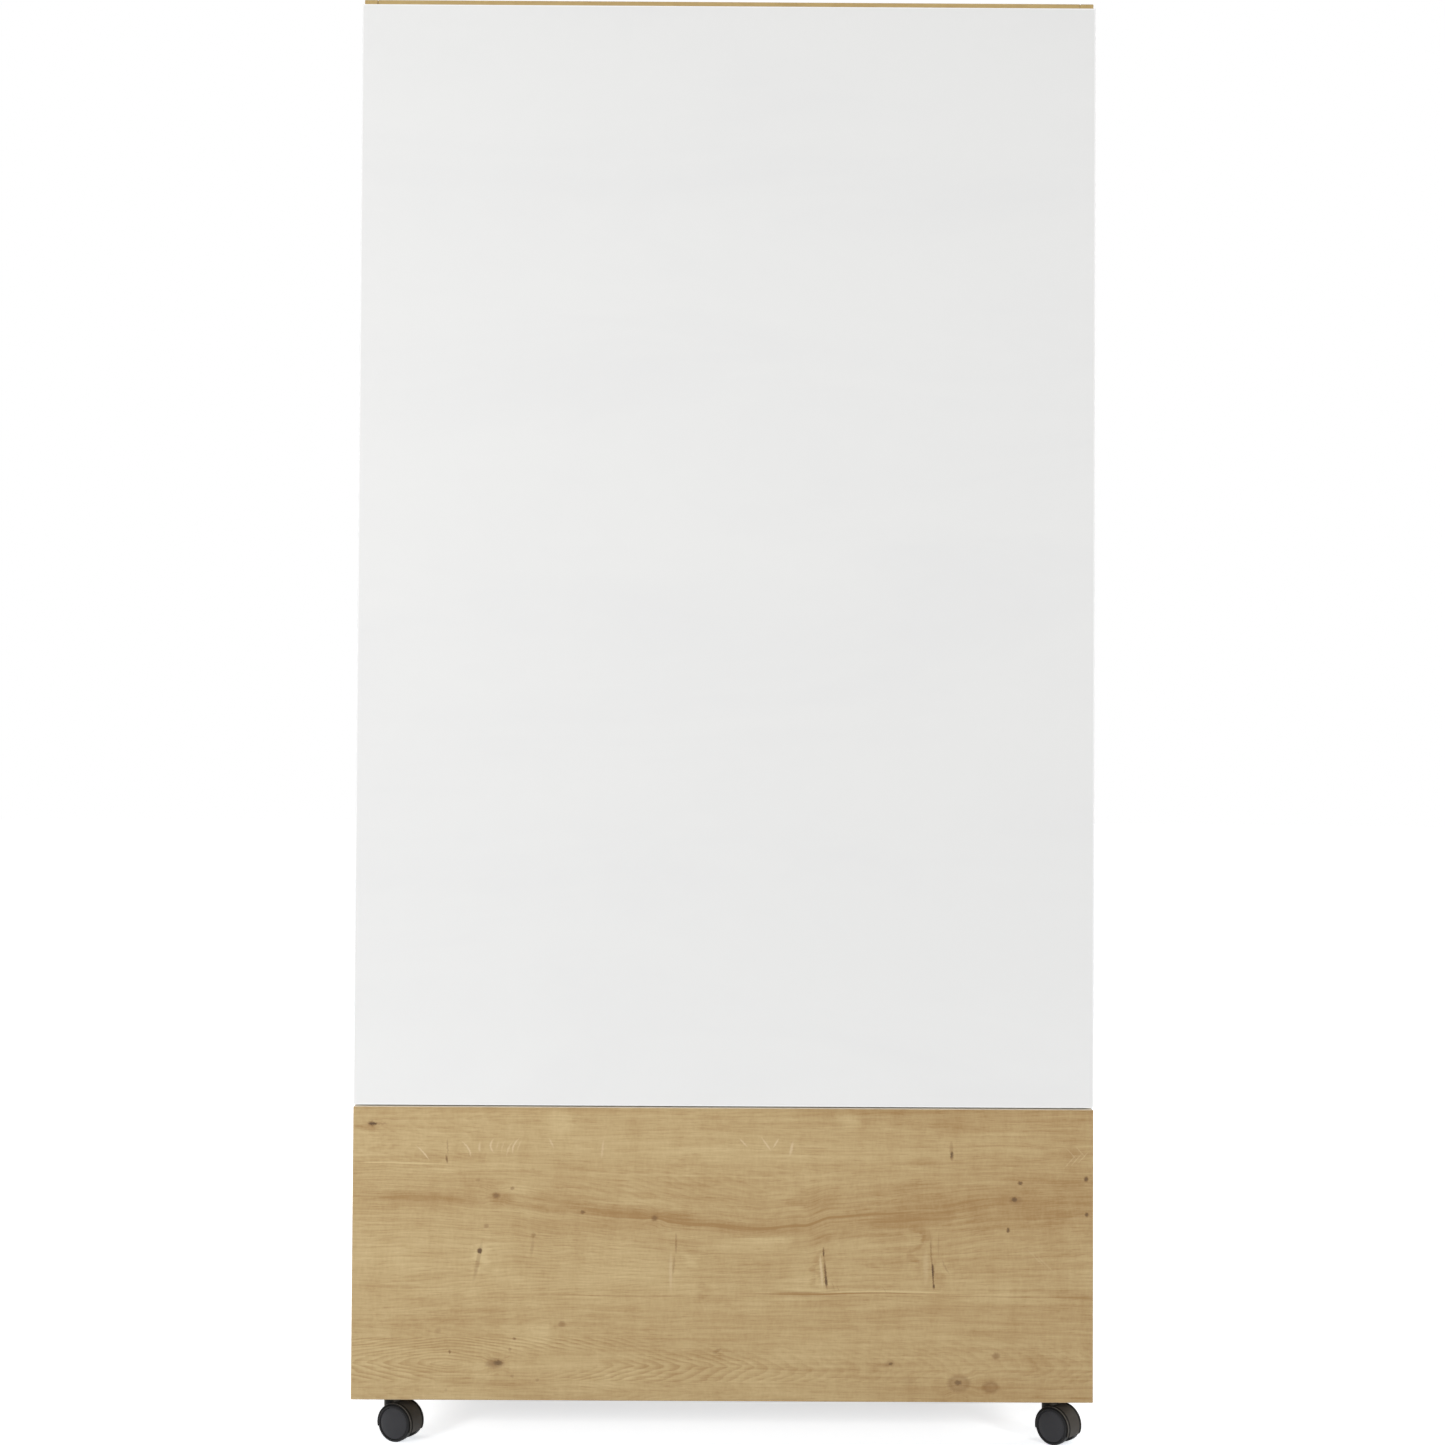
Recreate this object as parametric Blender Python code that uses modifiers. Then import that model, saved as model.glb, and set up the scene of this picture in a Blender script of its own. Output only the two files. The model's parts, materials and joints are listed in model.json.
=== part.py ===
"""Mobile whiteboard: an oak-faced bookcase on four castors, with a frameless whiteboard over an oak
panel on its front and open shelves behind. Units are metres, +Z is up, the front faces -Y, and the
origin lies on the floor under the middle of the carcass."""

import math

import bmesh
import bpy
from mathutils import Matrix, Vector

# Carcass
UNIT_WIDTH = 1.000
UNIT_DEPTH = 0.400
BOARD_THICKNESS = 0.018
SHELF_THICKNESS = 0.025
BOARD_EDGE_ROUND = 0.0008
SEAT_GAP = 0.0003
CUT_OVERRUN = 0.002

# Front panels
LOWER_PANEL_HEIGHT = 0.394
PANEL_JOINT = 0.002
WHITEBOARD_HEIGHT = 1.496
TOP_REVEAL = 0.012
FRONT_PANEL_THICKNESS = 0.018
WRITING_SHEET_THICKNESS = 0.0008

# Adjustable shelves and their studs
UPPER_BAYS = 4
SHELF_FRONT_CLEARANCE = 0.0015
SHELF_REAR_SETBACK = 0.002
STUD_PIN_RADIUS = 0.0025
STUD_PIN_LENGTH = 0.0095
STUD_COLLAR_RADIUS = 0.0045
STUD_COLLAR_THICKNESS = 0.0012
STUD_REST_RADIUS = 0.0032
STUD_REST_LENGTH = 0.0085
STUD_SIDES = 8
STUD_HOLE_DEPTH = 0.012
STUD_HOLE_PITCH = 0.032
STUD_HOLES_EACH_WAY = 1
STUD_EDGE_INSET = 0.050

# Castor stance
CASTOR_HEIGHT = 0.0635
CASTOR_SIDE_INSET = 0.051
CASTOR_END_INSET = 0.045
CASTOR_HEADINGS = {"left": math.radians(-25), "right": math.radians(-41)}
CASTOR_TRAIL = 0.0125

# Twin wheels
WHEEL_RADIUS = 0.025
WHEEL_WIDTH = 0.0115
WHEEL_EDGE_ROUND = 0.0022
WHEEL_RECESS_RADIUS = 0.0210
WHEEL_RECESS_DEPTH = 0.003
WHEEL_WEB_CLEARANCE = 0.0005
WHEEL_SIDES = 24
CAP_EDGE_DROP = 0.0006
CAP_CROWN = 0.0026
CAP_RINGS = 3
CAP_SIDES = 20

# Axle
AXLE_RADIUS = 0.003
AXLE_HEAD_RADIUS = 0.0046
AXLE_HEAD_THICKNESS = 0.001
AXLE_SIDES = 12

# Hood over the wheels
HOOD_RADIUS = 0.027
HOOD_HALF_WIDTH = 0.017
HOOD_WALL = 0.0015
HOOD_EDGE_ROUND = 0.001
HOOD_EDGE_SEGMENTS = 2
HOOD_STEM_CUT = math.radians(12)
HOOD_TRAIL_CUT = math.radians(25)
HOOD_CORNER_RADIUS = 0.004
HOOD_CORNER_STEPS = 2
HOOD_SIDES = 32
WEB_THICKNESS = 0.013
BOSS_RADIUS = 0.012
BOSS_EDGE_ROUND = 0.0012
BOSS_SIDES = 16

# Kingpin
KINGPIN_RADIUS = 0.004
KINGPIN_HEAD_RADIUS = 0.007
KINGPIN_HEAD_THICKNESS = 0.0012
KINGPIN_LENGTH = 0.031
KINGPIN_GROOVE_DEPTH = 0.0007
KINGPIN_GROOVE_WIDTH = 0.0012
KINGPIN_GROOVE_RISE = 0.003
KINGPIN_SIDES = 12

# Mounting plate and its screws
PLATE_SIZE = 0.042
PLATE_THICKNESS = 0.0025
PLATE_CORNER_RADIUS = 0.006
PLATE_CORNER_SEGMENTS = 2
RACEWAY_RADIUS = 0.011
RACEWAY_DEPTH = 0.0014
RACEWAY_SIDES = 16
SCREW_INSET = 0.0065
SCREW_HEAD_RADIUS = 0.0036
SCREW_HEAD_TOP_RADIUS = 0.0022
SCREW_HEAD_HEIGHT = 0.0018
SCREW_HEAD_EDGE = 0.0007
SCREW_SHANK_RADIUS = 0.0018
SCREW_REACH = 0.012
SCREW_SIDES = 6

# Brake pedal of the rear castors
PEDAL_ELEVATION = math.radians(35)
PEDAL_PIVOT_REACH = 0.0205
PEDAL_HUB_RADIUS = 0.0028
PEDAL_HUB_STEPS = 8
PEDAL_STEM_WIDTH = 0.008
PEDAL_STEM_THICKNESS = 0.0034
PEDAL_STEM_LENGTH = 0.0125
PEDAL_TONGUE_WIDTH = 0.013
PEDAL_TONGUE_LENGTH = 0.012
PEDAL_TONGUE_THICKNESS = 0.003
PEDAL_TONGUE_LAP = 0.002
PEDAL_TONGUE_TILT = math.radians(15)
PEDAL_TRAVEL = math.radians(12)
PEDAL_EDGE_ROUND = 0.0008
TRUNNION_RADIUS = 0.0012
TRUNNION_REACH = 0.0016
TRUNNION_SIDES = 12

# Heights and depths that follow
CARCASS_HEIGHT = LOWER_PANEL_HEIGHT + PANEL_JOINT + WHITEBOARD_HEIGHT + TOP_REVEAL
CARCASS_BOTTOM = CASTOR_HEIGHT
CARCASS_TOP = CARCASS_BOTTOM + CARCASS_HEIGHT
FRONT_FACE = -UNIT_DEPTH / 2
REAR_FACE = UNIT_DEPTH / 2
CARCASS_FRONT = FRONT_FACE + FRONT_PANEL_THICKNESS
SIDE_OUTER_X = UNIT_WIDTH / 2
SIDE_INNER_X = SIDE_OUTER_X - BOARD_THICKNESS
LOWER_PANEL_TOP = CARCASS_BOTTOM + LOWER_PANEL_HEIGHT
WHITEBOARD_BOTTOM = LOWER_PANEL_TOP + PANEL_JOINT
WHITEBOARD_TOP = WHITEBOARD_BOTTOM + WHITEBOARD_HEIGHT
FIXED_SHELF_TOP = LOWER_PANEL_TOP + (PANEL_JOINT + SHELF_THICKNESS) / 2
TOP_BOARD_UNDERSIDE = CARCASS_TOP - BOARD_THICKNESS
UPPER_SPACE = TOP_BOARD_UNDERSIDE - FIXED_SHELF_TOP
UPPER_BAY_HEIGHT = (UPPER_SPACE - (UPPER_BAYS - 1) * SHELF_THICKNESS) / UPPER_BAYS
AXLE_HEIGHT = WHEEL_RADIUS * math.cos(math.pi / WHEEL_SIDES)
PLATE_TOP = CASTOR_HEIGHT - SEAT_GAP
PLATE_UNDERSIDE = PLATE_TOP - PLATE_THICKNESS
RACEWAY_FACE = PLATE_UNDERSIDE - RACEWAY_DEPTH
BOSS_TOP = RACEWAY_FACE - SEAT_GAP
KINGPIN_HEAD_SEAT = PLATE_TOP - KINGPIN_HEAD_THICKNESS
KINGPIN_TIP = PLATE_TOP - KINGPIN_LENGTH
WELL_RADIUS = HOOD_RADIUS - HOOD_WALL
WHEEL_INNER_FACE = WEB_THICKNESS / 2 + WHEEL_WEB_CLEARANCE
WHEEL_RECESS_FLOOR = WHEEL_WIDTH - WHEEL_RECESS_DEPTH
AXLE_HEAD_FACE = WHEEL_RECESS_FLOOR + SEAT_GAP + AXLE_HEAD_THICKNESS

SIDES = {"left": -1, "right": 1}
ENDS = {"front": -1, "rear": 1}
BRAKED_END = "rear"
WHEEL_FACINGS = {"near": -1, "far": 1}
SHELF_NAMES = ("lower", "middle", "upper")

# Colours are linear red, green and blue
OAK = (0.479, 0.342, 0.178)
MELAMINE_WHITE = (0.76, 0.76, 0.74)
ENAMEL_WHITE = (0.83, 0.83, 0.82)
HOOD_BLACK = (0.020, 0.020, 0.021)
WHEEL_BLACK = (0.026, 0.026, 0.027)
CAP_GREY = (0.060, 0.060, 0.064)
PLATE_BLACK = (0.030, 0.030, 0.031)
STEEL = (0.58, 0.58, 0.59)

QUARTER_TURN = math.radians(90)


def new_collection(name):
    collection = bpy.data.collections.new(name)
    bpy.context.scene.collection.children.link(collection)
    return collection


def principled(name, colour, roughness, metallic=0.0):
    material = bpy.data.materials.new(name)
    material.use_nodes = True
    shader = material.node_tree.nodes["Principled BSDF"]
    shader.inputs["Base Color"].default_value = (*colour, 1.0)
    shader.inputs["Roughness"].default_value = roughness
    shader.inputs["Metallic"].default_value = metallic
    material.diffuse_color = (*colour, 1.0)
    return material


def place(obj, collection, location, rotation, parent):
    collection.objects.link(obj)
    obj.parent = parent
    obj.location = location
    obj.rotation_euler = rotation
    return obj


def empty(name, location, rotation=(0, 0, 0), parent=None):
    return place(bpy.data.objects.new(name, None), PARTS, location, rotation, parent)


def piece(name, mesh, location=(0, 0, 0), rotation=(0, 0, 0), parent=None):
    """A sub-part of the object. Its mesh brings its material."""
    return place(bpy.data.objects.new(name, mesh), PARTS, location, rotation, parent)


def helper(name, shape):
    """A shape that cuts, joins or becomes another, and isn't a sub-part itself."""
    mesh = bpy.data.meshes.new(name)
    shape.to_mesh(mesh)
    shape.free()
    obj = place(bpy.data.objects.new(name, mesh), CUTTERS, (0, 0, 0), (0, 0, 0), None)
    obj.hide_render = True
    obj.display_type = "WIRE"
    return obj


def add_block(shape, size, centre, turn=None):
    """Adds a box of this size to a bmesh, turned about its own centre."""
    matrix = Matrix.Translation(centre) @ (turn or Matrix()) @ Matrix.Diagonal((*size, 1))
    bmesh.ops.create_cube(shape, size=1, matrix=matrix)


def add_rod(shape, radius, length, sides, centre, axis):
    """Adds a cylinder to a bmesh. Where its axis is level, a flat of its outline faces down."""
    turns = {
        "X": Matrix.Rotation(QUARTER_TURN, 4, "Y"),
        "Y": Matrix.Rotation(QUARTER_TURN, 4, "X"),
        "Z": Matrix(),
    }
    half_step = Matrix.Rotation(math.pi / sides, 4, "Z")
    bmesh.ops.create_cone(
        shape,
        cap_ends=True,
        segments=sides,
        radius1=radius,
        radius2=radius,
        depth=length,
        matrix=Matrix.Translation(centre) @ turns[axis] @ half_step,
    )


def bored(radius, sides):
    """The corner radius of a faceted hole that clears a rod of this radius all round."""
    return (radius + SEAT_GAP) / math.cos(math.pi / sides)


def round_edges(obj, width, segments=1):
    bevel = obj.modifiers.new("Rounded edges", "BEVEL")
    bevel.width = width
    bevel.segments = segments
    bevel.limit_method = "ANGLE"
    bevel.angle_limit = math.radians(50)


def combine(obj, operation, other):
    boolean = obj.modifiers.new(operation.title(), "BOOLEAN")
    boolean.operation = operation
    boolean.solver = "EXACT"
    boolean.object = other


def finished_mesh(blank, material):
    """The blank's mesh with its modifiers applied, for one or more sub-parts to share."""
    bpy.context.view_layer.update()
    graph = bpy.context.evaluated_depsgraph_get()
    mesh = bpy.data.meshes.new_from_object(blank.evaluated_get(graph))
    mesh.name = blank.name
    used = [modifier.object for modifier in blank.modifiers if modifier.type == "BOOLEAN"]
    for obj in [blank, *used]:
        bpy.data.objects.remove(obj)
    mesh.materials.clear()
    mesh.materials.append(material)
    mesh.shade_smooth()
    mesh.set_sharp_from_angle(angle=math.radians(35))
    return mesh


def turned(name, profile, sides, ring=False):
    """A helper turned about Z from (radius, height) points, which run down its outer side."""
    shape = bmesh.new()
    start = Matrix.Rotation(math.pi / sides - QUARTER_TURN, 4, "Z")
    points = [shape.verts.new(start @ Vector((radius, 0, height))) for radius, height in profile]
    for first, second in zip(points, points[1:] + points[:1] * ring):
        shape.edges.new((first, second))
    obj = helper(name, shape)
    screw = obj.modifiers.new("Turned", "SCREW")
    screw.steps = sides
    screw.render_steps = sides
    screw.use_merge_vertices = True
    screw.merge_threshold = SEAT_GAP / 100
    return obj


def outline_block(name, points, thickness):
    """A helper with a flat outline in X and Z, centred on Y = 0."""
    curve = bpy.data.curves.new(name, "CURVE")
    curve.dimensions = "2D"
    curve.fill_mode = "BOTH"
    curve.extrude = thickness / 2
    spline = curve.splines.new("POLY")
    spline.points.add(len(points) - 1)
    spline.use_cyclic_u = True
    for point, (x, z) in zip(spline.points, points):
        point.co = (x, z, 0, 1)
    drawn = place(bpy.data.objects.new(name, curve), CUTTERS, (0, 0, 0), (0, 0, 0), None)
    bpy.context.view_layer.update()
    graph = bpy.context.evaluated_depsgraph_get()
    mesh = bpy.data.meshes.new_from_object(drawn.evaluated_get(graph))
    shape = bmesh.new()
    shape.from_mesh(mesh)
    bmesh.ops.remove_doubles(shape, verts=shape.verts, dist=SEAT_GAP / 100)
    bmesh.ops.transform(shape, matrix=Matrix.Rotation(QUARTER_TURN, 4, "X"), verts=shape.verts)
    bmesh.ops.recalc_face_normals(shape, faces=shape.faces)
    bpy.data.objects.remove(drawn)
    bpy.data.meshes.remove(mesh)
    bpy.data.curves.remove(curve)
    return helper(name, shape)


def board(name, low, high, material, cutter=None):
    """A board between two opposite corners, with its sharp edges just taken off."""
    size = [h - l for l, h in zip(low, high)]
    shape = bmesh.new()
    add_block(shape, size, (0, 0, 0))
    mesh = bpy.data.meshes.new(name)
    shape.to_mesh(mesh)
    shape.free()
    mesh.materials.append(material)
    centre = [(h + l) / 2 for l, h in zip(low, high)]
    obj = piece(name, mesh, centre)
    round_edges(obj, min(BOARD_EDGE_ROUND, min(size) / 4))
    if cutter:
        combine(obj, "DIFFERENCE", cutter)


def shelf_undersides():
    """The height of each adjustable shelf's underside, from the lowest up."""
    step = UPPER_BAY_HEIGHT + SHELF_THICKNESS
    first = FIXED_SHELF_TOP + UPPER_BAY_HEIGHT
    return {name: first + number * step for number, name in enumerate(SHELF_NAMES)}


def stud_height(underside):
    """The height of the axis of a stud that carries a shelf with this underside."""
    return underside - SEAT_GAP - STUD_REST_RADIUS * math.cos(math.pi / STUD_SIDES)


def stud_rows():
    """The Y of the front and the rear column of studs."""
    return {"front": CARCASS_FRONT + STUD_EDGE_INSET, "rear": REAR_FACE - STUD_EDGE_INSET}


def castor_places():
    """The swivel axis of each castor, by the name of its corner."""
    places = {}
    for end, rearward in ENDS.items():
        for side, rightward in SIDES.items():
            x = rightward * (UNIT_WIDTH / 2 - CASTOR_SIDE_INSET)
            y = rearward * (UNIT_DEPTH / 2 - CASTOR_END_INSET)
            places[end + "_" + side] = (x, y, 0)
    return places


def screw_places():
    """The four screws of a mounting plate, from its centre."""
    reach = PLATE_SIZE / 2 - SCREW_INSET
    return [(sx * reach, sy * reach) for sx in SIDES.values() for sy in ENDS.values()]


def make_side_panels(material):
    """Full-height side panels, with groups of holes that let each shelf move up or down."""
    radius = bored(STUD_PIN_RADIUS, STUD_SIDES)
    length = STUD_HOLE_DEPTH + CUT_OVERRUN
    for side, rightward in SIDES.items():
        holes = bmesh.new()
        x = rightward * (SIDE_INNER_X + STUD_HOLE_DEPTH - length / 2)
        for underside in shelf_undersides().values():
            for step in range(-STUD_HOLES_EACH_WAY, STUD_HOLES_EACH_WAY + 1):
                z = stud_height(underside) + step * STUD_HOLE_PITCH
                for y in stud_rows().values():
                    add_rod(holes, radius, length, STUD_SIDES, (x, y, z), "X")
        inner, outer = sorted((rightward * SIDE_INNER_X, rightward * SIDE_OUTER_X))
        low = (inner, CARCASS_FRONT, CARCASS_BOTTOM)
        high = (outer, REAR_FACE, CARCASS_TOP)
        board("side_panel_" + side, low, high, material, helper(side + "_stud_holes", holes))


def make_level_boards(material):
    """The boards between the side panels: the top, the base with its pilot holes, and the fixed shelf."""
    pilots = bmesh.new()
    depth = SCREW_REACH + SEAT_GAP
    radius = bored(SCREW_SHANK_RADIUS, SCREW_SIDES)
    z = CARCASS_BOTTOM + (depth - CUT_OVERRUN) / 2
    for x, y, _ in castor_places().values():
        for dx, dy in screw_places():
            centre = (x + dx, y + dy, z)
            add_rod(pilots, radius, depth + CUT_OVERRUN, SCREW_SIDES, centre, "Z")
    half = SIDE_INNER_X - SEAT_GAP
    spans = {
        "base_board": (CARCASS_BOTTOM, CARCASS_BOTTOM + BOARD_THICKNESS),
        "fixed_shelf": (FIXED_SHELF_TOP - SHELF_THICKNESS, FIXED_SHELF_TOP),
        "top_board": (TOP_BOARD_UNDERSIDE, CARCASS_TOP),
    }
    cutters = {"base_board": helper("plate_pilot_holes", pilots)}
    for name, (bottom, top) in spans.items():
        low = (-half, CARCASS_FRONT, bottom)
        high = (half, REAR_FACE, top)
        board(name, low, high, material, cutters.get(name))


def make_front_panels(oak, melamine, enamel):
    """The oak panel below, and the whiteboard above: a core board under a thin writing sheet."""
    rear = CARCASS_FRONT - SEAT_GAP
    left, right = -UNIT_WIDTH / 2, UNIT_WIDTH / 2
    low = (left, FRONT_FACE, CARCASS_BOTTOM)
    high = (right, rear, LOWER_PANEL_TOP)
    board("lower_front_panel", low, high, oak)
    sheet_back = FRONT_FACE + WRITING_SHEET_THICKNESS
    low = (left, FRONT_FACE, WHITEBOARD_BOTTOM)
    high = (right, sheet_back, WHITEBOARD_TOP)
    board("writing_surface", low, high, enamel)
    low = (left, sheet_back + SEAT_GAP, WHITEBOARD_BOTTOM)
    high = (right, rear, WHITEBOARD_TOP)
    board("whiteboard_core", low, high, melamine)


def make_shelves(oak, steel):
    """The adjustable shelves, each on four studs pushed into the side panels."""
    half = SIDE_INNER_X - STUD_COLLAR_THICKNESS - 2 * SEAT_GAP
    pin_end = STUD_PIN_LENGTH
    collar_face = -STUD_COLLAR_THICKNESS
    rest_end = collar_face - STUD_REST_LENGTH
    profile = [
        (0, pin_end),
        (STUD_PIN_RADIUS, pin_end),
        (STUD_PIN_RADIUS, 0),
        (STUD_COLLAR_RADIUS, 0),
        (STUD_COLLAR_RADIUS, collar_face),
        (STUD_REST_RADIUS, collar_face),
        (STUD_REST_RADIUS, rest_end),
        (0, rest_end),
    ]
    stud = finished_mesh(turned("shelf_stud", profile, STUD_SIDES), steel)
    for name, underside in shelf_undersides().items():
        low = (-half, CARCASS_FRONT + SHELF_FRONT_CLEARANCE, underside)
        high = (half, REAR_FACE - SHELF_REAR_SETBACK, underside + SHELF_THICKNESS)
        board("adjustable_shelf_" + name, low, high, oak)
        for side, rightward in SIDES.items():
            x = rightward * (SIDE_INNER_X - SEAT_GAP)
            for row, y in stud_rows().items():
                location = (x, y, stud_height(underside))
                rotation = (0, rightward * QUARTER_TURN, 0)
                piece(f"shelf_stud_{name}_{side}_{row}", stud, location, rotation)


def plate_mesh(material):
    """A plate with its raceway and its four driven screws, in the castor's own frame."""
    shape = bmesh.new()
    size = (PLATE_SIZE, PLATE_SIZE, PLATE_THICKNESS)
    add_block(shape, size, (0, 0, PLATE_TOP - PLATE_THICKNESS / 2))
    corners = []
    for edge in shape.edges:
        first, second = (vert.co for vert in edge.verts)
        if abs(first.z - second.z) > PLATE_THICKNESS / 2:
            corners.append(edge)
    bmesh.ops.bevel(
        shape,
        geom=corners,
        offset=PLATE_CORNER_RADIUS,
        segments=PLATE_CORNER_SEGMENTS,
        profile=0.5,
        affect="EDGES",
    )
    blank = helper("castor_plate", shape)
    raceway = bmesh.new()
    height = RACEWAY_DEPTH + PLATE_THICKNESS / 2
    centre = (0, 0, RACEWAY_FACE + height / 2)
    add_rod(raceway, RACEWAY_RADIUS, height, RACEWAY_SIDES, centre, "Z")
    combine(blank, "UNION", helper("raceway", raceway))
    for number, (x, y) in enumerate(screw_places()):
        screw = turned(f"plate_screw_{number}", screw_profile(), SCREW_SIDES)
        screw.location = (x, y, 0)
        combine(blank, "UNION", screw)
    seat_radius = bored(KINGPIN_HEAD_RADIUS, KINGPIN_SIDES)
    bore_radius = bored(KINGPIN_RADIUS, KINGPIN_SIDES)
    seat_floor = KINGPIN_HEAD_SEAT - SEAT_GAP
    seat = [
        (0, PLATE_TOP + CUT_OVERRUN),
        (seat_radius, PLATE_TOP + CUT_OVERRUN),
        (seat_radius, seat_floor),
        (bore_radius, seat_floor),
        (bore_radius, RACEWAY_FACE - CUT_OVERRUN),
        (0, RACEWAY_FACE - CUT_OVERRUN),
    ]
    combine(blank, "DIFFERENCE", turned("kingpin_seat", seat, KINGPIN_SIDES))
    return finished_mesh(blank, material)


def screw_profile():
    """A pan-head screw driven up through the plate into the base board."""
    tip = CARCASS_BOTTOM + SCREW_REACH
    head_back = PLATE_UNDERSIDE + PLATE_THICKNESS / 2
    head_face = PLATE_UNDERSIDE - SCREW_HEAD_HEIGHT
    return [
        (0, tip),
        (SCREW_SHANK_RADIUS, tip - SCREW_SHANK_RADIUS),
        (SCREW_SHANK_RADIUS, head_back),
        (SCREW_HEAD_RADIUS, head_back),
        (SCREW_HEAD_RADIUS, PLATE_UNDERSIDE - SCREW_HEAD_EDGE),
        (SCREW_HEAD_TOP_RADIUS, head_face),
        (0, head_face),
    ]


def kingpin_mesh(material):
    """The headed pin that the hood swivels on, with a groove for its grip ring near the tip."""
    groove_low = KINGPIN_TIP + KINGPIN_GROOVE_RISE
    groove_high = groove_low + KINGPIN_GROOVE_WIDTH
    groove_radius = KINGPIN_RADIUS - KINGPIN_GROOVE_DEPTH
    profile = [
        (0, PLATE_TOP),
        (KINGPIN_HEAD_RADIUS, PLATE_TOP),
        (KINGPIN_HEAD_RADIUS, KINGPIN_HEAD_SEAT),
        (KINGPIN_RADIUS, KINGPIN_HEAD_SEAT),
        (KINGPIN_RADIUS, groove_high),
        (groove_radius, groove_high),
        (groove_radius, groove_low),
        (KINGPIN_RADIUS, groove_low),
        (KINGPIN_RADIUS, KINGPIN_TIP),
        (0, KINGPIN_TIP),
    ]
    return finished_mesh(turned("kingpin", profile, KINGPIN_SIDES), material)


def axle_mesh(material):
    """The axle through the hood's web, with a head at each end that keeps the wheels on."""
    head_back = WHEEL_INNER_FACE + WHEEL_RECESS_FLOOR + SEAT_GAP
    end = head_back + AXLE_HEAD_THICKNESS
    half = [
        (0, end),
        (AXLE_HEAD_RADIUS, end),
        (AXLE_HEAD_RADIUS, head_back),
        (AXLE_RADIUS, head_back),
    ]
    profile = half + [(radius, -height) for radius, height in reversed(half)]
    return finished_mesh(turned("axle", profile, AXLE_SIDES), material)


def wheel_mesh(material):
    """A wheel from its inner face at Z = 0 to its outer face, with a recess for its cap."""
    bore = bored(AXLE_RADIUS, AXLE_SIDES)
    shoulder = WHEEL_RADIUS - WHEEL_EDGE_ROUND
    profile = [
        (bore, WHEEL_RECESS_FLOOR),
        (WHEEL_RECESS_RADIUS, WHEEL_RECESS_FLOOR),
        (WHEEL_RECESS_RADIUS, WHEEL_WIDTH),
        (shoulder, WHEEL_WIDTH),
        (WHEEL_RADIUS, WHEEL_WIDTH - WHEEL_EDGE_ROUND),
        (WHEEL_RADIUS, WHEEL_EDGE_ROUND),
        (shoulder, 0),
        (bore, 0),
    ]
    return finished_mesh(turned("wheel", profile, WHEEL_SIDES, ring=True), material)


def cap_mesh(material):
    """The domed cap pressed into a wheel's recess, hollowed behind for the axle's head."""
    recess_apothem = WHEEL_RECESS_RADIUS * math.cos(math.pi / WHEEL_SIDES)
    rim = recess_apothem - SEAT_GAP
    edge = WHEEL_WIDTH - CAP_EDGE_DROP
    dome = []
    for ring in range(CAP_RINGS + 1):
        reach = ring / CAP_RINGS
        dome.append((rim * reach, edge + CAP_CROWN * (1 - reach**2)))
    back = WHEEL_RECESS_FLOOR + SEAT_GAP
    pocket = AXLE_HEAD_RADIUS + SEAT_GAP
    pocket_floor = AXLE_HEAD_FACE + SEAT_GAP
    profile = dome + [(rim, back), (pocket, back), (pocket, pocket_floor), (0, pocket_floor)]
    return finished_mesh(turned("wheel_cap", profile, CAP_SIDES), material)


def pedal_frame():
    """Carries the pedal's own frame, with X along its stem, to its pivot in the castor's frame."""
    pivot = (
        CASTOR_TRAIL + PEDAL_PIVOT_REACH * math.cos(PEDAL_ELEVATION),
        0,
        AXLE_HEIGHT + PEDAL_PIVOT_REACH * math.sin(PEDAL_ELEVATION),
    )
    return Matrix.Translation(pivot) @ Matrix.Rotation(-PEDAL_ELEVATION, 4, "Y")


def add_brake_slot(blank):
    """Cuts the slot that the pedal's stem swings in, and the two blind holes for its trunnions."""
    mouth = HOOD_RADIUS - PEDAL_PIVOT_REACH
    half_stem = PEDAL_STEM_THICKNESS / 2
    pressed = half_stem * math.cos(PEDAL_TRAVEL) + mouth * math.sin(PEDAL_TRAVEL)
    top = PEDAL_HUB_RADIUS + SEAT_GAP
    bottom = max(PEDAL_HUB_RADIUS, pressed) + SEAT_GAP
    back = PEDAL_HUB_RADIUS + SEAT_GAP
    front = mouth + CUT_OVERRUN
    width = PEDAL_STEM_WIDTH + 2 * SEAT_GAP
    slot = bmesh.new()
    size = (front + back, width, top + bottom)
    add_block(slot, size, ((front - back) / 2, 0, (top - bottom) / 2))
    slot_cutter = helper("brake_slot", slot)
    slot_cutter.matrix_world = pedal_frame()
    combine(blank, "DIFFERENCE", slot_cutter)
    holes = bmesh.new()
    length = width + 2 * TRUNNION_REACH
    add_rod(holes, bored(TRUNNION_RADIUS, TRUNNION_SIDES), length, TRUNNION_SIDES, (0, 0, 0), "Y")
    hole_cutter = helper("trunnion_holes", holes)
    hole_cutter.matrix_world = pedal_frame()
    combine(blank, "DIFFERENCE", hole_cutter)


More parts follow.
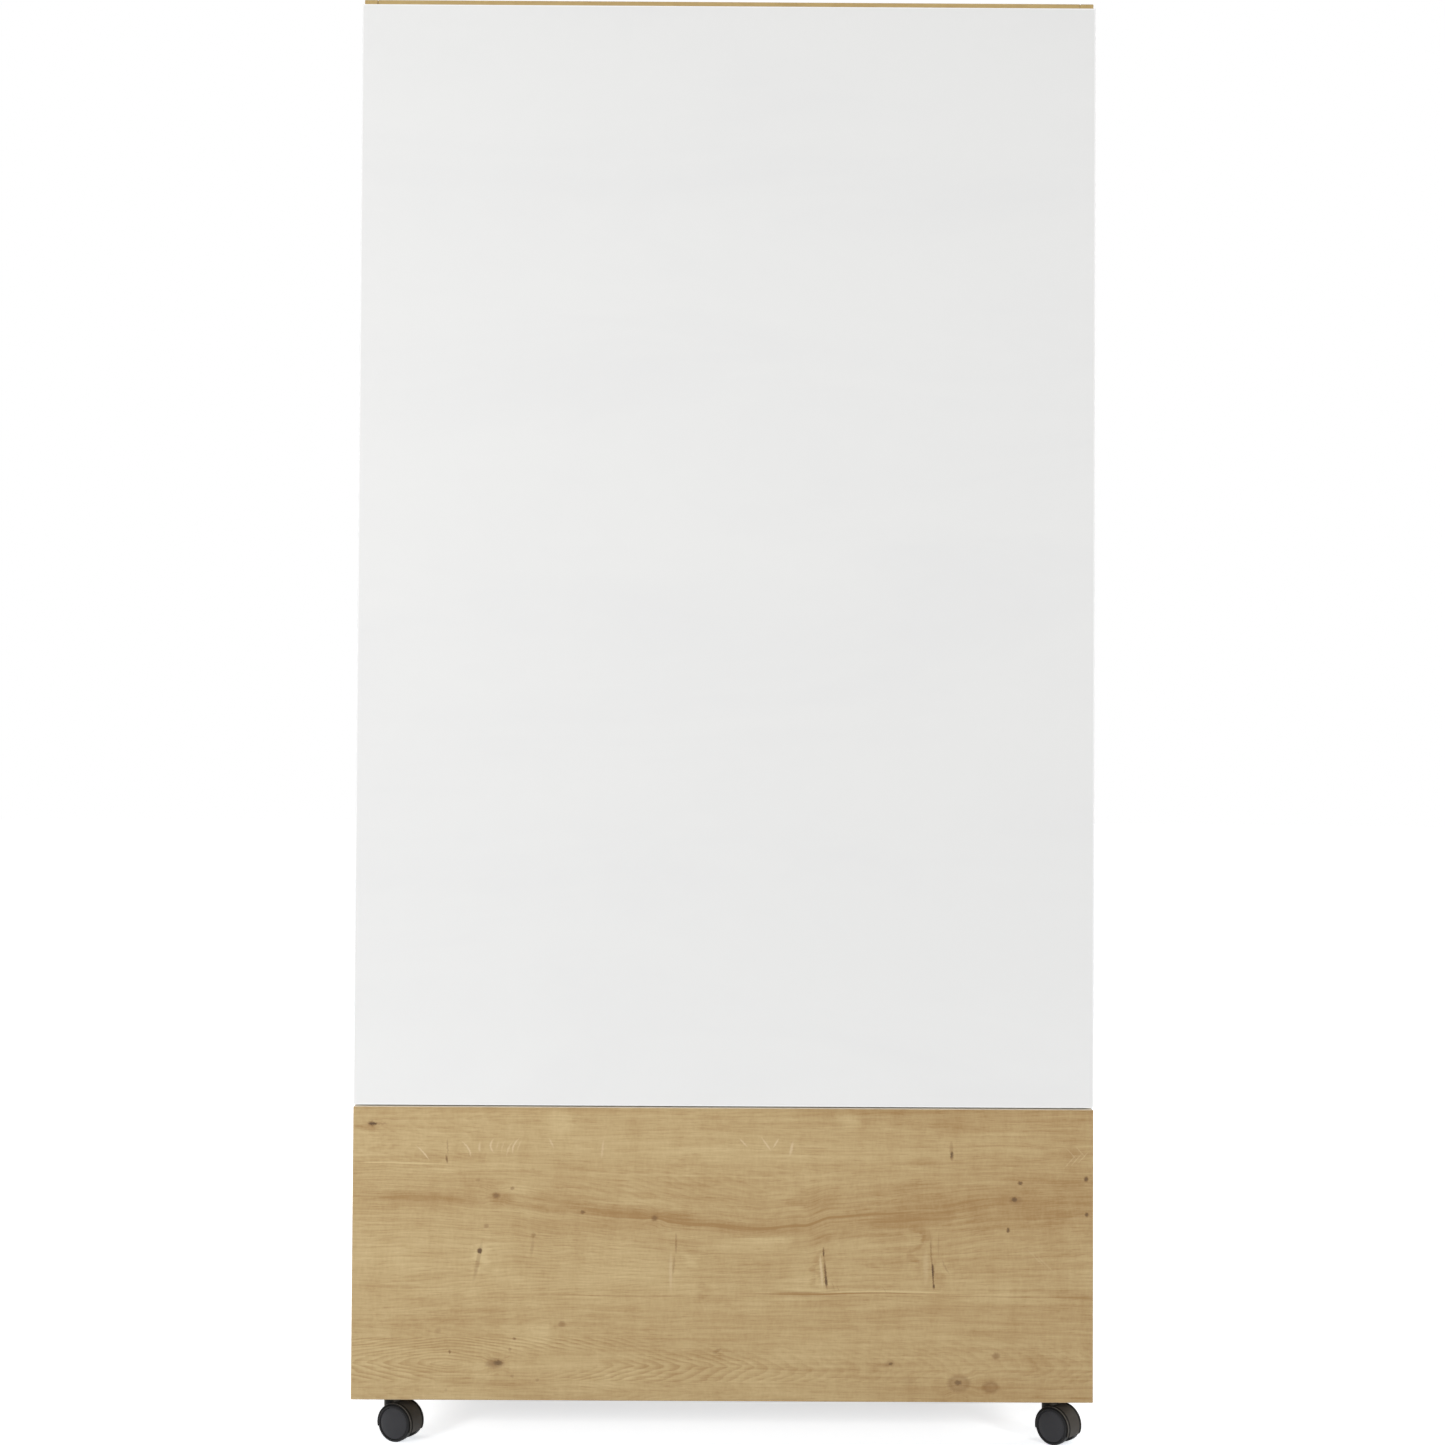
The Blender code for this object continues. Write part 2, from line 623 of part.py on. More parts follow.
def underside_cutter():
    """A block whose slanted top is the hood's lower edge, higher at the stem than behind."""
    stem = Vector((-math.cos(HOOD_STEM_CUT), 0, -math.sin(HOOD_STEM_CUT))) * HOOD_RADIUS
    trail = Vector((math.cos(HOOD_TRAIL_CUT), 0, -math.sin(HOOD_TRAIL_CUT))) * HOOD_RADIUS
    run = trail - stem
    slope = math.atan2(run.z, run.x)
    depth = 2 * HOOD_RADIUS
    down = Vector((math.sin(slope), 0, -math.cos(slope)))
    centre = Vector((CASTOR_TRAIL, 0, AXLE_HEIGHT)) + (stem + trail) / 2 + down * depth / 2
    shape = bmesh.new()
    size = (run.length + 2 * HOOD_RADIUS, 2 * HOOD_HALF_WIDTH + 2 * CUT_OVERRUN, depth)
    add_block(shape, size, centre, Matrix.Rotation(-slope, 4, "Y"))
    return helper("hood_underside", shape)


def lower_corner_cutter(outward):
    """Rounds one lower corner of the hood's trailing wall, seen from behind."""
    edge = AXLE_HEIGHT - HOOD_RADIUS * math.sin(HOOD_TRAIL_CUT)
    face = outward * HOOD_HALF_WIDTH
    beyond = outward * (HOOD_HALF_WIDTH + CUT_OVERRUN)
    below = edge - HOOD_CORNER_RADIUS
    middle = outward * (HOOD_HALF_WIDTH - HOOD_CORNER_RADIUS)
    outline = [(middle, below), (beyond, below), (beyond, edge + HOOD_CORNER_RADIUS)]
    for step in range(HOOD_CORNER_STEPS + 1):
        angle = QUARTER_TURN * step / HOOD_CORNER_STEPS
        inward = HOOD_CORNER_RADIUS * (1 - math.cos(angle))
        drop = HOOD_CORNER_RADIUS * math.sin(angle)
        outline.append((face - outward * inward, edge + HOOD_CORNER_RADIUS - drop))
    cutter = outline_block("lower_corner", outline, HOOD_RADIUS + CUT_OVERRUN)
    centre = (CASTOR_TRAIL + (HOOD_RADIUS + CUT_OVERRUN) / 2, 0, 0)
    cutter.matrix_world = Matrix.Translation(centre) @ Matrix.Rotation(QUARTER_TURN, 4, "Z")
    return cutter


def hood_mesh(material, braked):
    """The moulded hood: a drum and stem boss, hollowed by two wheel wells beside a central web."""
    shape = bmesh.new()
    middle = (CASTOR_TRAIL, 0, AXLE_HEIGHT)
    add_rod(shape, HOOD_RADIUS, 2 * HOOD_HALF_WIDTH, HOOD_SIDES, middle, "Y")
    blank = helper("castor_hood_braked" if braked else "castor_hood", shape)
    round_edges(blank, HOOD_EDGE_ROUND, HOOD_EDGE_SEGMENTS)
    boss = [
        (0, BOSS_TOP),
        (BOSS_RADIUS - BOSS_EDGE_ROUND, BOSS_TOP),
        (BOSS_RADIUS, BOSS_TOP - BOSS_EDGE_ROUND),
        (BOSS_RADIUS, AXLE_HEIGHT),
        (0, AXLE_HEIGHT),
    ]
    combine(blank, "UNION", turned("stem_boss", boss, BOSS_SIDES))
    well_depth = HOOD_HALF_WIDTH - WEB_THICKNESS / 2 + CUT_OVERRUN
    for facing, outward in WHEEL_FACINGS.items():
        well = bmesh.new()
        centre = (CASTOR_TRAIL, outward * (WEB_THICKNESS + well_depth) / 2, AXLE_HEIGHT)
        add_rod(well, WELL_RADIUS, well_depth, HOOD_SIDES, centre, "Y")
        combine(blank, "DIFFERENCE", helper(facing + "_wheel_well", well))
    combine(blank, "DIFFERENCE", underside_cutter())
    for outward in WHEEL_FACINGS.values():
        combine(blank, "DIFFERENCE", lower_corner_cutter(outward))
    pin_bore = bmesh.new()
    floor = KINGPIN_TIP - SEAT_GAP
    height = BOSS_TOP + CUT_OVERRUN - floor
    radius = bored(KINGPIN_RADIUS, KINGPIN_SIDES)
    add_rod(pin_bore, radius, height, KINGPIN_SIDES, (0, 0, floor + height / 2), "Z")
    combine(blank, "DIFFERENCE", helper("kingpin_bore", pin_bore))
    axle_bore = bmesh.new()
    length = WEB_THICKNESS + 2 * CUT_OVERRUN
    add_rod(axle_bore, bored(AXLE_RADIUS, AXLE_SIDES), length, AXLE_SIDES, middle, "Y")
    combine(blank, "DIFFERENCE", helper("axle_bore", axle_bore))
    if braked:
        add_brake_slot(blank)
    return finished_mesh(blank, material)


def pedal_mesh(material):
    """The brake pedal about its pivot: a hub and stem, two trunnions and a tongue for the foot."""
    half = PEDAL_STEM_THICKNESS / 2
    start = math.asin(half / PEDAL_HUB_RADIUS)
    outline = []
    for step in range(PEDAL_HUB_STEPS + 1):
        angle = start + (2 * math.pi - 2 * start) * step / PEDAL_HUB_STEPS
        outline.append((PEDAL_HUB_RADIUS * math.cos(angle), PEDAL_HUB_RADIUS * math.sin(angle)))
    outline += [(PEDAL_STEM_LENGTH, -half), (PEDAL_STEM_LENGTH, half)]
    blank = outline_block("brake_pedal", outline, PEDAL_STEM_WIDTH)
    pins = bmesh.new()
    length = PEDAL_STEM_WIDTH + 2 * TRUNNION_REACH
    add_rod(pins, TRUNNION_RADIUS, length, TRUNNION_SIDES, (0, 0, 0), "Y")
    combine(blank, "UNION", helper("trunnions", pins))
    tongue = bmesh.new()
    size = (PEDAL_TONGUE_LENGTH, PEDAL_TONGUE_WIDTH, PEDAL_TONGUE_THICKNESS)
    reach = PEDAL_TONGUE_LENGTH / 2
    centre = (
        PEDAL_STEM_LENGTH - PEDAL_TONGUE_LAP + reach * math.cos(PEDAL_TONGUE_TILT),
        0,
        -reach * math.sin(PEDAL_TONGUE_TILT),
    )
    add_block(tongue, size, centre, Matrix.Rotation(PEDAL_TONGUE_TILT, 4, "Y"))
    tongue_block = helper("pedal_tongue", tongue)
    round_edges(tongue_block, PEDAL_EDGE_ROUND)
    combine(blank, "UNION", tongue_block)
    return finished_mesh(blank, material)


def make_castors(black, wheel_black, grey, plate_black, steel):
    """Four hooded twin-wheel castors as they happen to stand, the rear pair with brakes."""
    plate = plate_mesh(plate_black)
    kingpin = kingpin_mesh(steel)
    axle = axle_mesh(steel)
    wheel = wheel_mesh(wheel_black)
    cap = cap_mesh(grey)
    hoods = {end: hood_mesh(black, braked=end == BRAKED_END) for end in ENDS}
    pedal = pedal_mesh(black)
    for corner, location in castor_places().items():
        end, side = corner.split("_")
        piece("castor_plate_" + corner, plate, location)
        piece("kingpin_" + corner, kingpin, location)
        swivel = empty("swivel_" + corner, location, (0, 0, CASTOR_HEADINGS[side]))
        piece("castor_hood_" + corner, hoods[end], parent=swivel)
        at_axle = (CASTOR_TRAIL, 0, AXLE_HEIGHT)
        piece("axle_" + corner, axle, at_axle, (QUARTER_TURN, 0, 0), swivel)
        for facing, outward in WHEEL_FACINGS.items():
            inner_face = (CASTOR_TRAIL, outward * WHEEL_INNER_FACE, AXLE_HEIGHT)
            spin_name = f"spin_{corner}_{facing}"
            spin = empty(spin_name, inner_face, (-outward * QUARTER_TURN, 0, 0), swivel)
            piece(f"wheel_{corner}_{facing}", wheel, parent=spin)
            piece(f"wheel_cap_{corner}_{facing}", cap, parent=spin)
        if end == BRAKED_END:
            pivot = pedal_frame()
            location = pivot.to_translation()
            rotation = pivot.to_euler()
            piece("brake_pedal_" + corner, pedal, location, rotation, swivel)


for old in list(bpy.data.objects):
    bpy.data.objects.remove(old)
PARTS = new_collection("Mobile whiteboard")
CUTTERS = new_collection("Cutters")
oak_laminate = principled("Oak laminate", OAK, 0.45)
shelf_laminate = principled("Oak shelf laminate", OAK, 0.45)
white_melamine = principled("White melamine", MELAMINE_WHITE, 0.4)
white_enamel = principled("White enamelled steel", ENAMEL_WHITE, 0.12)
black_nylon = principled("Black nylon", HOOD_BLACK, 0.42)
wheel_nylon = principled("Wheel nylon", WHEEL_BLACK, 0.5)
grey_nylon = principled("Grey nylon", CAP_GREY, 0.4)
black_steel = principled("Black zinc plate", PLATE_BLACK, 0.4, 0.6)
bright_steel = principled("Bright steel", STEEL, 0.3, 1.0)
make_side_panels(oak_laminate)
make_level_boards(oak_laminate)
make_front_panels(oak_laminate, white_melamine, white_enamel)
make_shelves(shelf_laminate, bright_steel)
make_castors(black_nylon, wheel_nylon, grey_nylon, black_steel, bright_steel)
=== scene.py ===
"""The looks of the mobile whiteboard: oak laminate, writing sheet, castors, light and camera.

Everything is in metres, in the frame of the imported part: +Z up, and the front faces -Y."""

import json
import math

import bmesh
import bpy
from mathutils import Matrix, Vector


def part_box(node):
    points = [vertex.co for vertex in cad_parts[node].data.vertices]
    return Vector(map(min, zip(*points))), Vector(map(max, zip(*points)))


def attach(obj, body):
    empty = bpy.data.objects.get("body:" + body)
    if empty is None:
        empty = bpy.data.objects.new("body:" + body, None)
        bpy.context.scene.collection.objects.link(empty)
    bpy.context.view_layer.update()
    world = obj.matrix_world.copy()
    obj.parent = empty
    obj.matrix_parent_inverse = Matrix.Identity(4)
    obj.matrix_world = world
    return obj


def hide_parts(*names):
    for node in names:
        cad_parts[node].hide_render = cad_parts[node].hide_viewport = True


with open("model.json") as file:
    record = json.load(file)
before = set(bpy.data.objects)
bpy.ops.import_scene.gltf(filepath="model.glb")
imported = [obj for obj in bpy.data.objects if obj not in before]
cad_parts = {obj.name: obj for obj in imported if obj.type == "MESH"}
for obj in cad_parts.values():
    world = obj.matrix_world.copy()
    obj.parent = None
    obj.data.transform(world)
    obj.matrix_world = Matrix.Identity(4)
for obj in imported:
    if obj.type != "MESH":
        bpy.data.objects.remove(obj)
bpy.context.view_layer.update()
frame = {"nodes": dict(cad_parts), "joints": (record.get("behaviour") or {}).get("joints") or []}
NODES = frame["nodes"]

# Camera, from the photograph's own lines
CAMERA_PLACE = (-0.0120, -3.330, 0.9097)
CAMERA_PITCH = 0.0218
CAMERA_YAW = 0.0025
CAMERA_ROLL = 0.0054
CAMERA_LENS = 57.55
SENSOR_WIDTH = 36.0

# Light
WORLD_LIGHT = 0.12
SHOWN_WHITE = 1.0
LAMPS = [
    # name, place, aimed at, width, height, watts
    ("key_lamp", (-3.0, -4.4, 1.75), (0, -0.5, 1.0), 1.0, 1.0, 122),
    ("fill_lamp", (3.2, -4.4, 1.75), (0, -0.5, 1.0), 1.0, 1.0, 116),
    ("accent_lamp", (-2.6, -2.4, 1.3), (0, -0.2, 1.1), 1.0, 1.0, 20),
    ("left_lamp", (-4.4, 0.9, 2.0), (0, 0, 0.3), 1.4, 1.4, 66),
    ("right_lamp", (4.4, 0.9, 2.0), (0, 0, 0.3), 1.4, 1.4, 66),
    ("rear_lamp", (0.6, 4.4, 2.4), (0, 0.2, 0.8), 3.0, 2.6, 100),
    ("top_lamp", (0, 1.4, 4.6), (0, 0.1, 1.6), 2.4, 2.4, 60),
]
FLOOR_REACH = 40.0
FLOOR_WHITE = (0.35, 0.35, 0.36)
FLOOR_SHOWN = (0.970, 0.988, 1.0)
FLOOR_GLOW = (0.975, 1.0, 1.037)
# The floor's glow grows between two distances from its middle
FLOOR_GLOW_NEAR = 0.635
FLOOR_GLOW_FAR = 1.0
FLOOR_NEAR = 1.4
FLOOR_FAR = 3.2

# Colours are linear red, green and blue
OAK_LIGHT = (0.609, 0.471, 0.251)
OAK_BROWN = (0.354, 0.215, 0.0890)
OAK_KNOT = (0.240, 0.128, 0.052)
OAK_DARK = (0.085, 0.050, 0.028)
OAK_FLECK = (0.690, 0.550, 0.345)
# The front panel's edge band colour, lightened as a painted highlight on its rounded edges
FRONT_EDGE_BAND_HIGHLIGHT = (0.660, 0.520, 0.345)
PLAIN_EDGE = (0.465, 0.330, 0.130)
# Painted light: near white on the front panel's upward faces, lifting the shade in the joint under the sheet
JOINT_PAINTED_LIGHT = (0.930, 0.865, 0.740)
ENAMEL = (0.820, 0.820, 0.808)
ENAMEL_SMEAR = (0.800, 0.800, 0.793)
ENAMEL_RIM_HIGHLIGHT = (0.920, 0.922, 0.916)
MELAMINE = (0.770, 0.770, 0.755)
MELAMINE_DULL = (0.755, 0.755, 0.739)
HOOD_BLACK = (0.0570, 0.0500, 0.0415)
HOOD_SCUFF = (0.0740, 0.0670, 0.0570)
# Painted shade, near black, on the hood's rims and inside its wells and groove
HOOD_SHADE_BLACK = (0.0060, 0.0057, 0.0054)
# Lighter rounded hood edges: partly wear, partly a painted highlight
EDGE_WEAR_AND_HIGHLIGHT = (0.1500, 0.1400, 0.1240)
WHEEL_GREY = (0.0160, 0.0160, 0.0168)
WHEEL_BLACK = (0.0085, 0.0083, 0.0080)
WHEEL_DUST = (0.0400, 0.0380, 0.0350)
CAP_GREY = (0.0345, 0.0345, 0.0376)
CAP_SCUFF = (0.0445, 0.0445, 0.0480)
PLATE_BLACK = (0.022, 0.022, 0.023)
PLATE_WORN = (0.110, 0.108, 0.105)
STEEL_BRIGHT = (0.62, 0.62, 0.63)
STEEL_DULL = (0.42, 0.42, 0.43)
COVER_BEIGE = (0.470, 0.350, 0.205)
COVER_BROWN = (0.400, 0.285, 0.155)

FINISHES = [
    # name, colour, other colour, noise scale, where it turns, roughness, bump, metallic, specular
    ("black nylon", WHEEL_BLACK, HOOD_BLACK, 60, (0.40, 0.80), (0.40, 0.58), 0.00004, 0.0, 0.3),
    ("hood nylon", HOOD_BLACK, HOOD_SCUFF, 60, (0.50, 0.80), (0.46, 0.62), 0.00005, 0.0, 0.15),
    ("wheel nylon", WHEEL_BLACK, WHEEL_DUST, 90, (0.58, 0.80), (0.40, 0.70), 0.00005, 0.0, 0.2),
    ("grey nylon", CAP_GREY, CAP_SCUFF, 70, (0.55, 0.85), (0.36, 0.52), 0.00003, 0.0, 0.2),
    ("black zinc", PLATE_BLACK, PLATE_WORN, 140, (0.58, 0.80), (0.30, 0.55), 0.00003, 0.6, 0.5),
    ("bright steel", STEEL_BRIGHT, STEEL_DULL, 220, (0.40, 0.75), (0.16, 0.40), 0.00002, 1.0, 0.5),
    ("white melamine", MELAMINE, MELAMINE_DULL, 14, (0.35, 0.75), (0.34, 0.50), 0.00003, 0.0, 0.5),
    ("cover plastic", COVER_BEIGE, COVER_BROWN, 120, (0.35, 0.70), (0.38, 0.52), 0.00003, 0.0, 0.5),
]
FINISH_DETAIL = 4.0
FINER_DETAIL = 2.0
FINER_SCALE = 7.3
OVERLAY_COVER = 0.92

# Writing sheet: its wipe marks, its fine grain and the painted highlight along its rim
WIPE_SCALES = (1.6, 1.0, 5.5)
WIPE_SHIFT = (3, 0, 1)
WIPE_NOISE = (1.0, 4.0, 0.6, 0.6)
SHEET_GRAIN_SCALES = (40.0, 40.0, 160.0)
SHEET_PEEL_SCALE = 260.0
SHEET_PEEL_HEIGHT = 0.00002
SHEET_ROUGH = 0.14
SHEET_ROUGH_WIPED = 0.10
SHEET_ROUGH_GRAIN = 0.06
SHEET_COAT = 0.25
SHEET_COAT_ROUGH = 0.08
RIM_START = 0.0019
RIM_END = 0.0011

# Noises in every oak board: waves per metre along and across the grain, detail, roughness
WANDER_NOISE = (3.0, 10.0, 2.5, 0.5)
WOBBLE_NOISE = (3.0, 17.0, 4.0, 0.58)
RINGED_NOISE = (3.0, 12.0, 3.0, 0.5)
STREAK_NOISE = (7.5, 230.0, 4.0, 0.72)
PATCH_NOISE = (6.0, 26.0, 4.0, 0.6)
PORE_NOISE = (60.0, 1100.0, 2.0, 0.5)
CROSS_NOISE = (300.0, 110.0, 2.0, 0.5)
FLAME_NOISE = (46.0, 13.0, 3.0, 0.6)
# What they add to the brownness
STREAK_DEPTH = 1.15
PATCH_DEPTH = 0.80
RING_DEPTH = 0.34
CROSS_DEPTH = 0.30
FLAME_DEPTH = 0.42
PORE_DEPTH = 0.22
WANDER_REACH = 0.019
# Growth rings: pointed at their ends, more so towards 1, and plain ellipses at 2
RING_POINT = 1.35
RINGS_PER_METRE = 250.0
RING_WOBBLE = 6.5
RING_SQUEEZE = 0.3
RING_MIDDLE = 0.35
SEAM_HALF_SHARE = 0.0022
OAK_ROUGH = 0.38
OAK_ROUGH_STREAK = 0.20
OAK_PORE_DEPTH = 0.6
OAK_BUMP = 0.00012
OAK_SPECULAR = 0.35
EDGE_BAND_WIDTH = 0.0011
EDGE_BAND_COVER = 0.75
EDGE_SIDE_COVER = 0.6
# A mark's ragged outline, and how far the patches drift with the grain
RAGGED_SCALE_ALONG = 380.0
RAGGED_SCALE_ACROSS = 290.0
RAGGED_REACH_ALONG = 0.0034
RAGGED_REACH_ACROSS = 0.0046
PATCH_DRIFT_ALONG = 0.12
PATCH_DRIFT_ACROSS = 0.04

# Boards that the photograph doesn't show: node, axis along, axis across, seed, knots
PLAIN_BOARDS = [
    ("side_panel_left", 2, 1, 1.3, 10),
    ("side_panel_right", 2, 1, 6.1, 10),
    ("top_board", 0, 1, 2.9, 5),
    ("base_board", 0, 1, 8.3, 5),
    ("fixed_shelf", 0, 1, 5.2, 5),
    ("adjustable_shelf_lower", 0, 1, 9.4, 5),
    ("adjustable_shelf_middle", 0, 1, 4.6, 5),
    ("adjustable_shelf_upper", 0, 1, 7.7, 5),
]
PLAIN_PLANKS = 4
PLAIN_BROWN = 0.43
PLAIN_SWING = 0.07
PLAIN_START_TONE = 0.02
PLAIN_RINGS = 0.5
PLAIN_SEAM = 0.08
PLAIN_KNOT = 0.0022
PLAIN_KNOT_STRENGTH = 0.6

# Oak marks on the front panel: centre X, centre Z, half width, half height, tilt, bend, strength
KNOTS = [
    (-0.474, 0.434, 0.008, 0.0048, 0, 0, 0.75),
    (-0.465, 0.434, 0.019, 0.0021, 0, 0, 0.45),
    (-0.372, 0.403, 0.0016, 0.016, -0.05, 0, 0.45),
    (-0.373, 0.387, 0.0024, 0.008, -0.14, 0, 0.75),
    (-0.306, 0.338, 0.008, 0.006, 0, 0, 0.72),
    (-0.284, 0.348, 0.004, 0.0032, 0, 0, 0.6),
    (-0.331, 0.359, 0.0046, 0.0032, 0, 0, 0.4),
    (-0.189, 0.316, 0.005, 0.0038, 0, 0, 0.75),
    (-0.319, 0.297, 0.005, 0.0046, 0, 0, 0.5),
    (-0.328, 0.264, 0.005, 0.0046, 0, 0, 0.7),
    (-0.33, 0.25, 0.0043, 0.038, 0.2, 0, 0.42),
    (-0.255, 0.285, 0.0046, 0.005, 0, 0, 0.55),
    (-0.257, 0.269, 0.0035, 0.017, 0.1, 0, 0.34),
    (-0.092, 0.309, 0.007, 0.006, 0, 0, 0.72),
    (-0.063, 0.275, 0.0022, 0.019, 0, 0, 0.55),
    (-0.066, 0.245, 0.0023, 0.019, 0.1, 0, 0.42),
    (0.138, 0.241, 0.0026, 0.030, -0.1, 0, 0.5),
    (0.138, 0.243, 0.0014, 0.012, -0.1, 0, 0.2),
    (0.149, 0.219, 0.0009, 0.009, -0.3, 0, 0.34),
    (0.156, 0.2155, 0.0009, 0.006, -0.5, 0, 0.38),
    (0.218, 0.2145, 0.0009, 0.006, -0.6, 0, 0.38),
    (0.136, 0.265, 0.002, 0.009, -0.05, 0, 0.7),
    (0.14, 0.222, 0.0028, 0.012, -0.1, 0, 0.4),
    (0.124, 0.233, 0.0022, 0.02, 0, 0, 0.22),
    (0.308, 0.403, 0.0036, 0.015, 0, 0, 0.42),
    (0.309, 0.394, 0.0034, 0.008, 0, 0, 0.62),
    (0.401, 0.358, 0.005, 0.0042, 0, 0, 0.85),
    (0.395, 0.335, 0.013, 0.008, 0, 0, 0.55),
    (0.393, 0.336, 0.005, 0.004, 0, 0, 0.35),
    (0.490, 0.364, 0.0045, 0.005, 0, 0, 0.92),
    (0.491, 0.316, 0.0042, 0.005, 0, 0, 0.88),
    (0.385, 0.295, 0.0034, 0.0048, 0, 0, 0.88),
    (0.282, 0.25, 0.0018, 0.035, -0.08, 0, 0.55),
    (0.284, 0.241, 0.0022, 0.011, -0.05, 0, 0.75),
    (0.285, 0.218, 0.0022, 0.005, 0, 0, 0.7),
    (0.284, 0.228, 0.0018, 0.014, -0.08, 0, 0.55),
    (0.139, 0.23, 0.0034, 0.017, -0.05, 0, 0.24),
    (0.281, 0.276, 0.002, 0.012, -0.05, 0, 0.35),
    (0.291, 0.273, 0.0016, 0.023, 0, 0, 0.32),
    (0.3, 0.245, 0.0018, 0.013, -0.5, 18, 0.4),
    (-0.383, 0.156, 0.007, 0.005, 0, 0, 0.34),
    (-0.216, 0.166, 0.007, 0.006, 0, 0, 0.55),
    (0.226, 0.115, 0.009, 0.006, 0, 0, 0.42),
    (0.227, 0.115, 0.004, 0.0024, 0, 0, 0.4),
    (0.369, 0.126, 0.008, 0.006, 0, 0, 0.62),
    (0.215, 0.113, 0.013, 0.0045, 0, 0, 0.25),
    (0.251, 0.092, 0.013, 0.008, 0, 0, 0.25),
    (-0.28, 0.146, 0.003, 0.003, 0, 0, 0.72),
    (-0.286, 0.132, 0.0035, 0.0032, 0, 0, 0.5),
    (-0.249, 0.091, 0.004, 0.0035, 0, 0, 0.42),
    (-0.367, 0.128, 0.003, 0.003, 0, 0, 0.7),
    (-0.283, 0.096, 0.0035, 0.0032, 0, 0, 0.4),
    (-0.372, 0.077, 0.0035, 0.0032, 0, 0, 0.35),
    (-0.007, 0.131, 0.006, 0.0046, 1.1, 0, 0.5),
    (-0.306, 0.113, 0.018, 0.009, 0, 0, 0.62),
    (-0.301, 0.114, 0.009, 0.0045, 0, 0, 0.26),
    (0.319, 0.089, 0.02, 0.015, 0, 0, 0.8),
    (0.319, 0.089, 0.013, 0.01, 0, 0, -0.45),
    (0.318, 0.09, 0.007, 0.005, 0, 0, 0.45),
    (0.362, 0.084, 0.015, 0.011, 0, 0, 0.72),
    (0.362, 0.084, 0.009, 0.006, 0, 0, -0.32),
]
FLECKS = [
    (-0.404, 0.395, 0.0016, 0.012, -0.9, -20, 0.75),
    (-0.344, 0.401, 0.0018, 0.013, -0.6, -30, 0.65),
    (-0.314, 0.405, 0.0019, 0.012, 0, 45, 0.65),
    (-0.329, 0.403, 0.0022, 0.008, 0, 0, 0.5),
    (-0.283, 0.405, 0.0018, 0.013, 0.4, 30, 0.65),
    (-0.29, 0.401, 0.0015, 0.013, 0.4, 20, 0.45),
    (-0.232, 0.409, 0.0019, 0.008, -0.5, 0, 0.5),
    (-0.305, 0.405, 0.0011, 0.009, 0.2, 20, 0.3),
    (-0.298, 0.404, 0.0011, 0.011, 0.25, 20, 0.3),
    (-0.276, 0.405, 0.0012, 0.009, 0.35, 20, 0.35),
    (-0.163, 0.401, 0.0019, 0.016, 0.1, 0, 0.4),
    (0.027, 0.411, 0.0019, 0.007, -0.9, 0, 0.6),
    (0.058, 0.409, 0.0019, 0.011, -0.7, 0, 0.6),
    (0.071, 0.41, 0.0018, 0.008, 0.6, 0, 0.6),
    (0.092, 0.403, 0.0027, 0.012, 0.2, 0, 0.6),
    (0.468, 0.387, 0.0013, 0.011, 0.9, 0, 0.32),
    (0.477, 0.39, 0.0013, 0.011, 0.9, 0, 0.32),
    (0.486, 0.393, 0.0013, 0.011, 0.9, 0, 0.32),
    (0.47, 0.398, 0.0013, 0.009, -0.9, 0, 0.28),
    (0.482, 0.401, 0.0013, 0.009, -0.9, 0, 0.28),
    (-0.070, 0.237, 0.003, 0.032, 0, 0, 0.36),
    (0.133, 0.239, 0.0024, 0.028, -0.08, 0, 0.6),
    (0.274, 0.245, 0.0046, 0.029, 0, 0, 0.2),
    (0.435, 0.25, 0.0019, 0.016, -1, 0, 0.15),
    (0.422, 0.258, 0.0019, 0.016, -1, 0, 0.15),
]
# Lines along its grain: centre Z, centre X, half height, half length, slope, bend, strength
DARK_STREAKS = [
    (0.316, 0.019, 0.003, 0.229, 0, 0, 0.38),
    (0.316, 0.201, 0.0022, 0.081, 0, 0, 0.26),
    (0.324, -0.12, 0.012, 0.108, 0, 0, 0.28),
    (0.304, 0.248, 0.012, 0.081, 0, 0, 0.24),
    (0.316, -0.406, 0.011, 0.094, 0, 0, 0.25),
    (0.207, 0.141, 0.0015, 0.162, -0.004, 0, 0.5),
    (0.205, -0.163, 0.0012, 0.202, 0, 0, 0.2),
    (0.204, 0.376, 0.0012, 0.162, -0.01, 0, 0.22),
    (0.209, 0.1, 0.0027, 0.04, 0, 0, 0.35),
    (0.215, -0.379, 0.0016, 0.148, -0.02, 0, 0.15),
]
LIGHT_STREAKS = [
    (0.38, -0.435, 0.0016, 0.067, 0, 0, 0.6),
    (0.308, -0.244, 0.004, 0.094, 0, 0, 0.26),
    (0.381, -0.271, 0.0012, 0.081, 0, 0, 0.2),
    (0.371, -0.028, 0.0012, 0.148, 0, 0, 0.2),
    (0.209, 0.227, 0.0019, 0.11, 0, 0, 0.5),
    (0.097, -0.365, 0.0013, 0.081, 0, 0, 0.3),
]
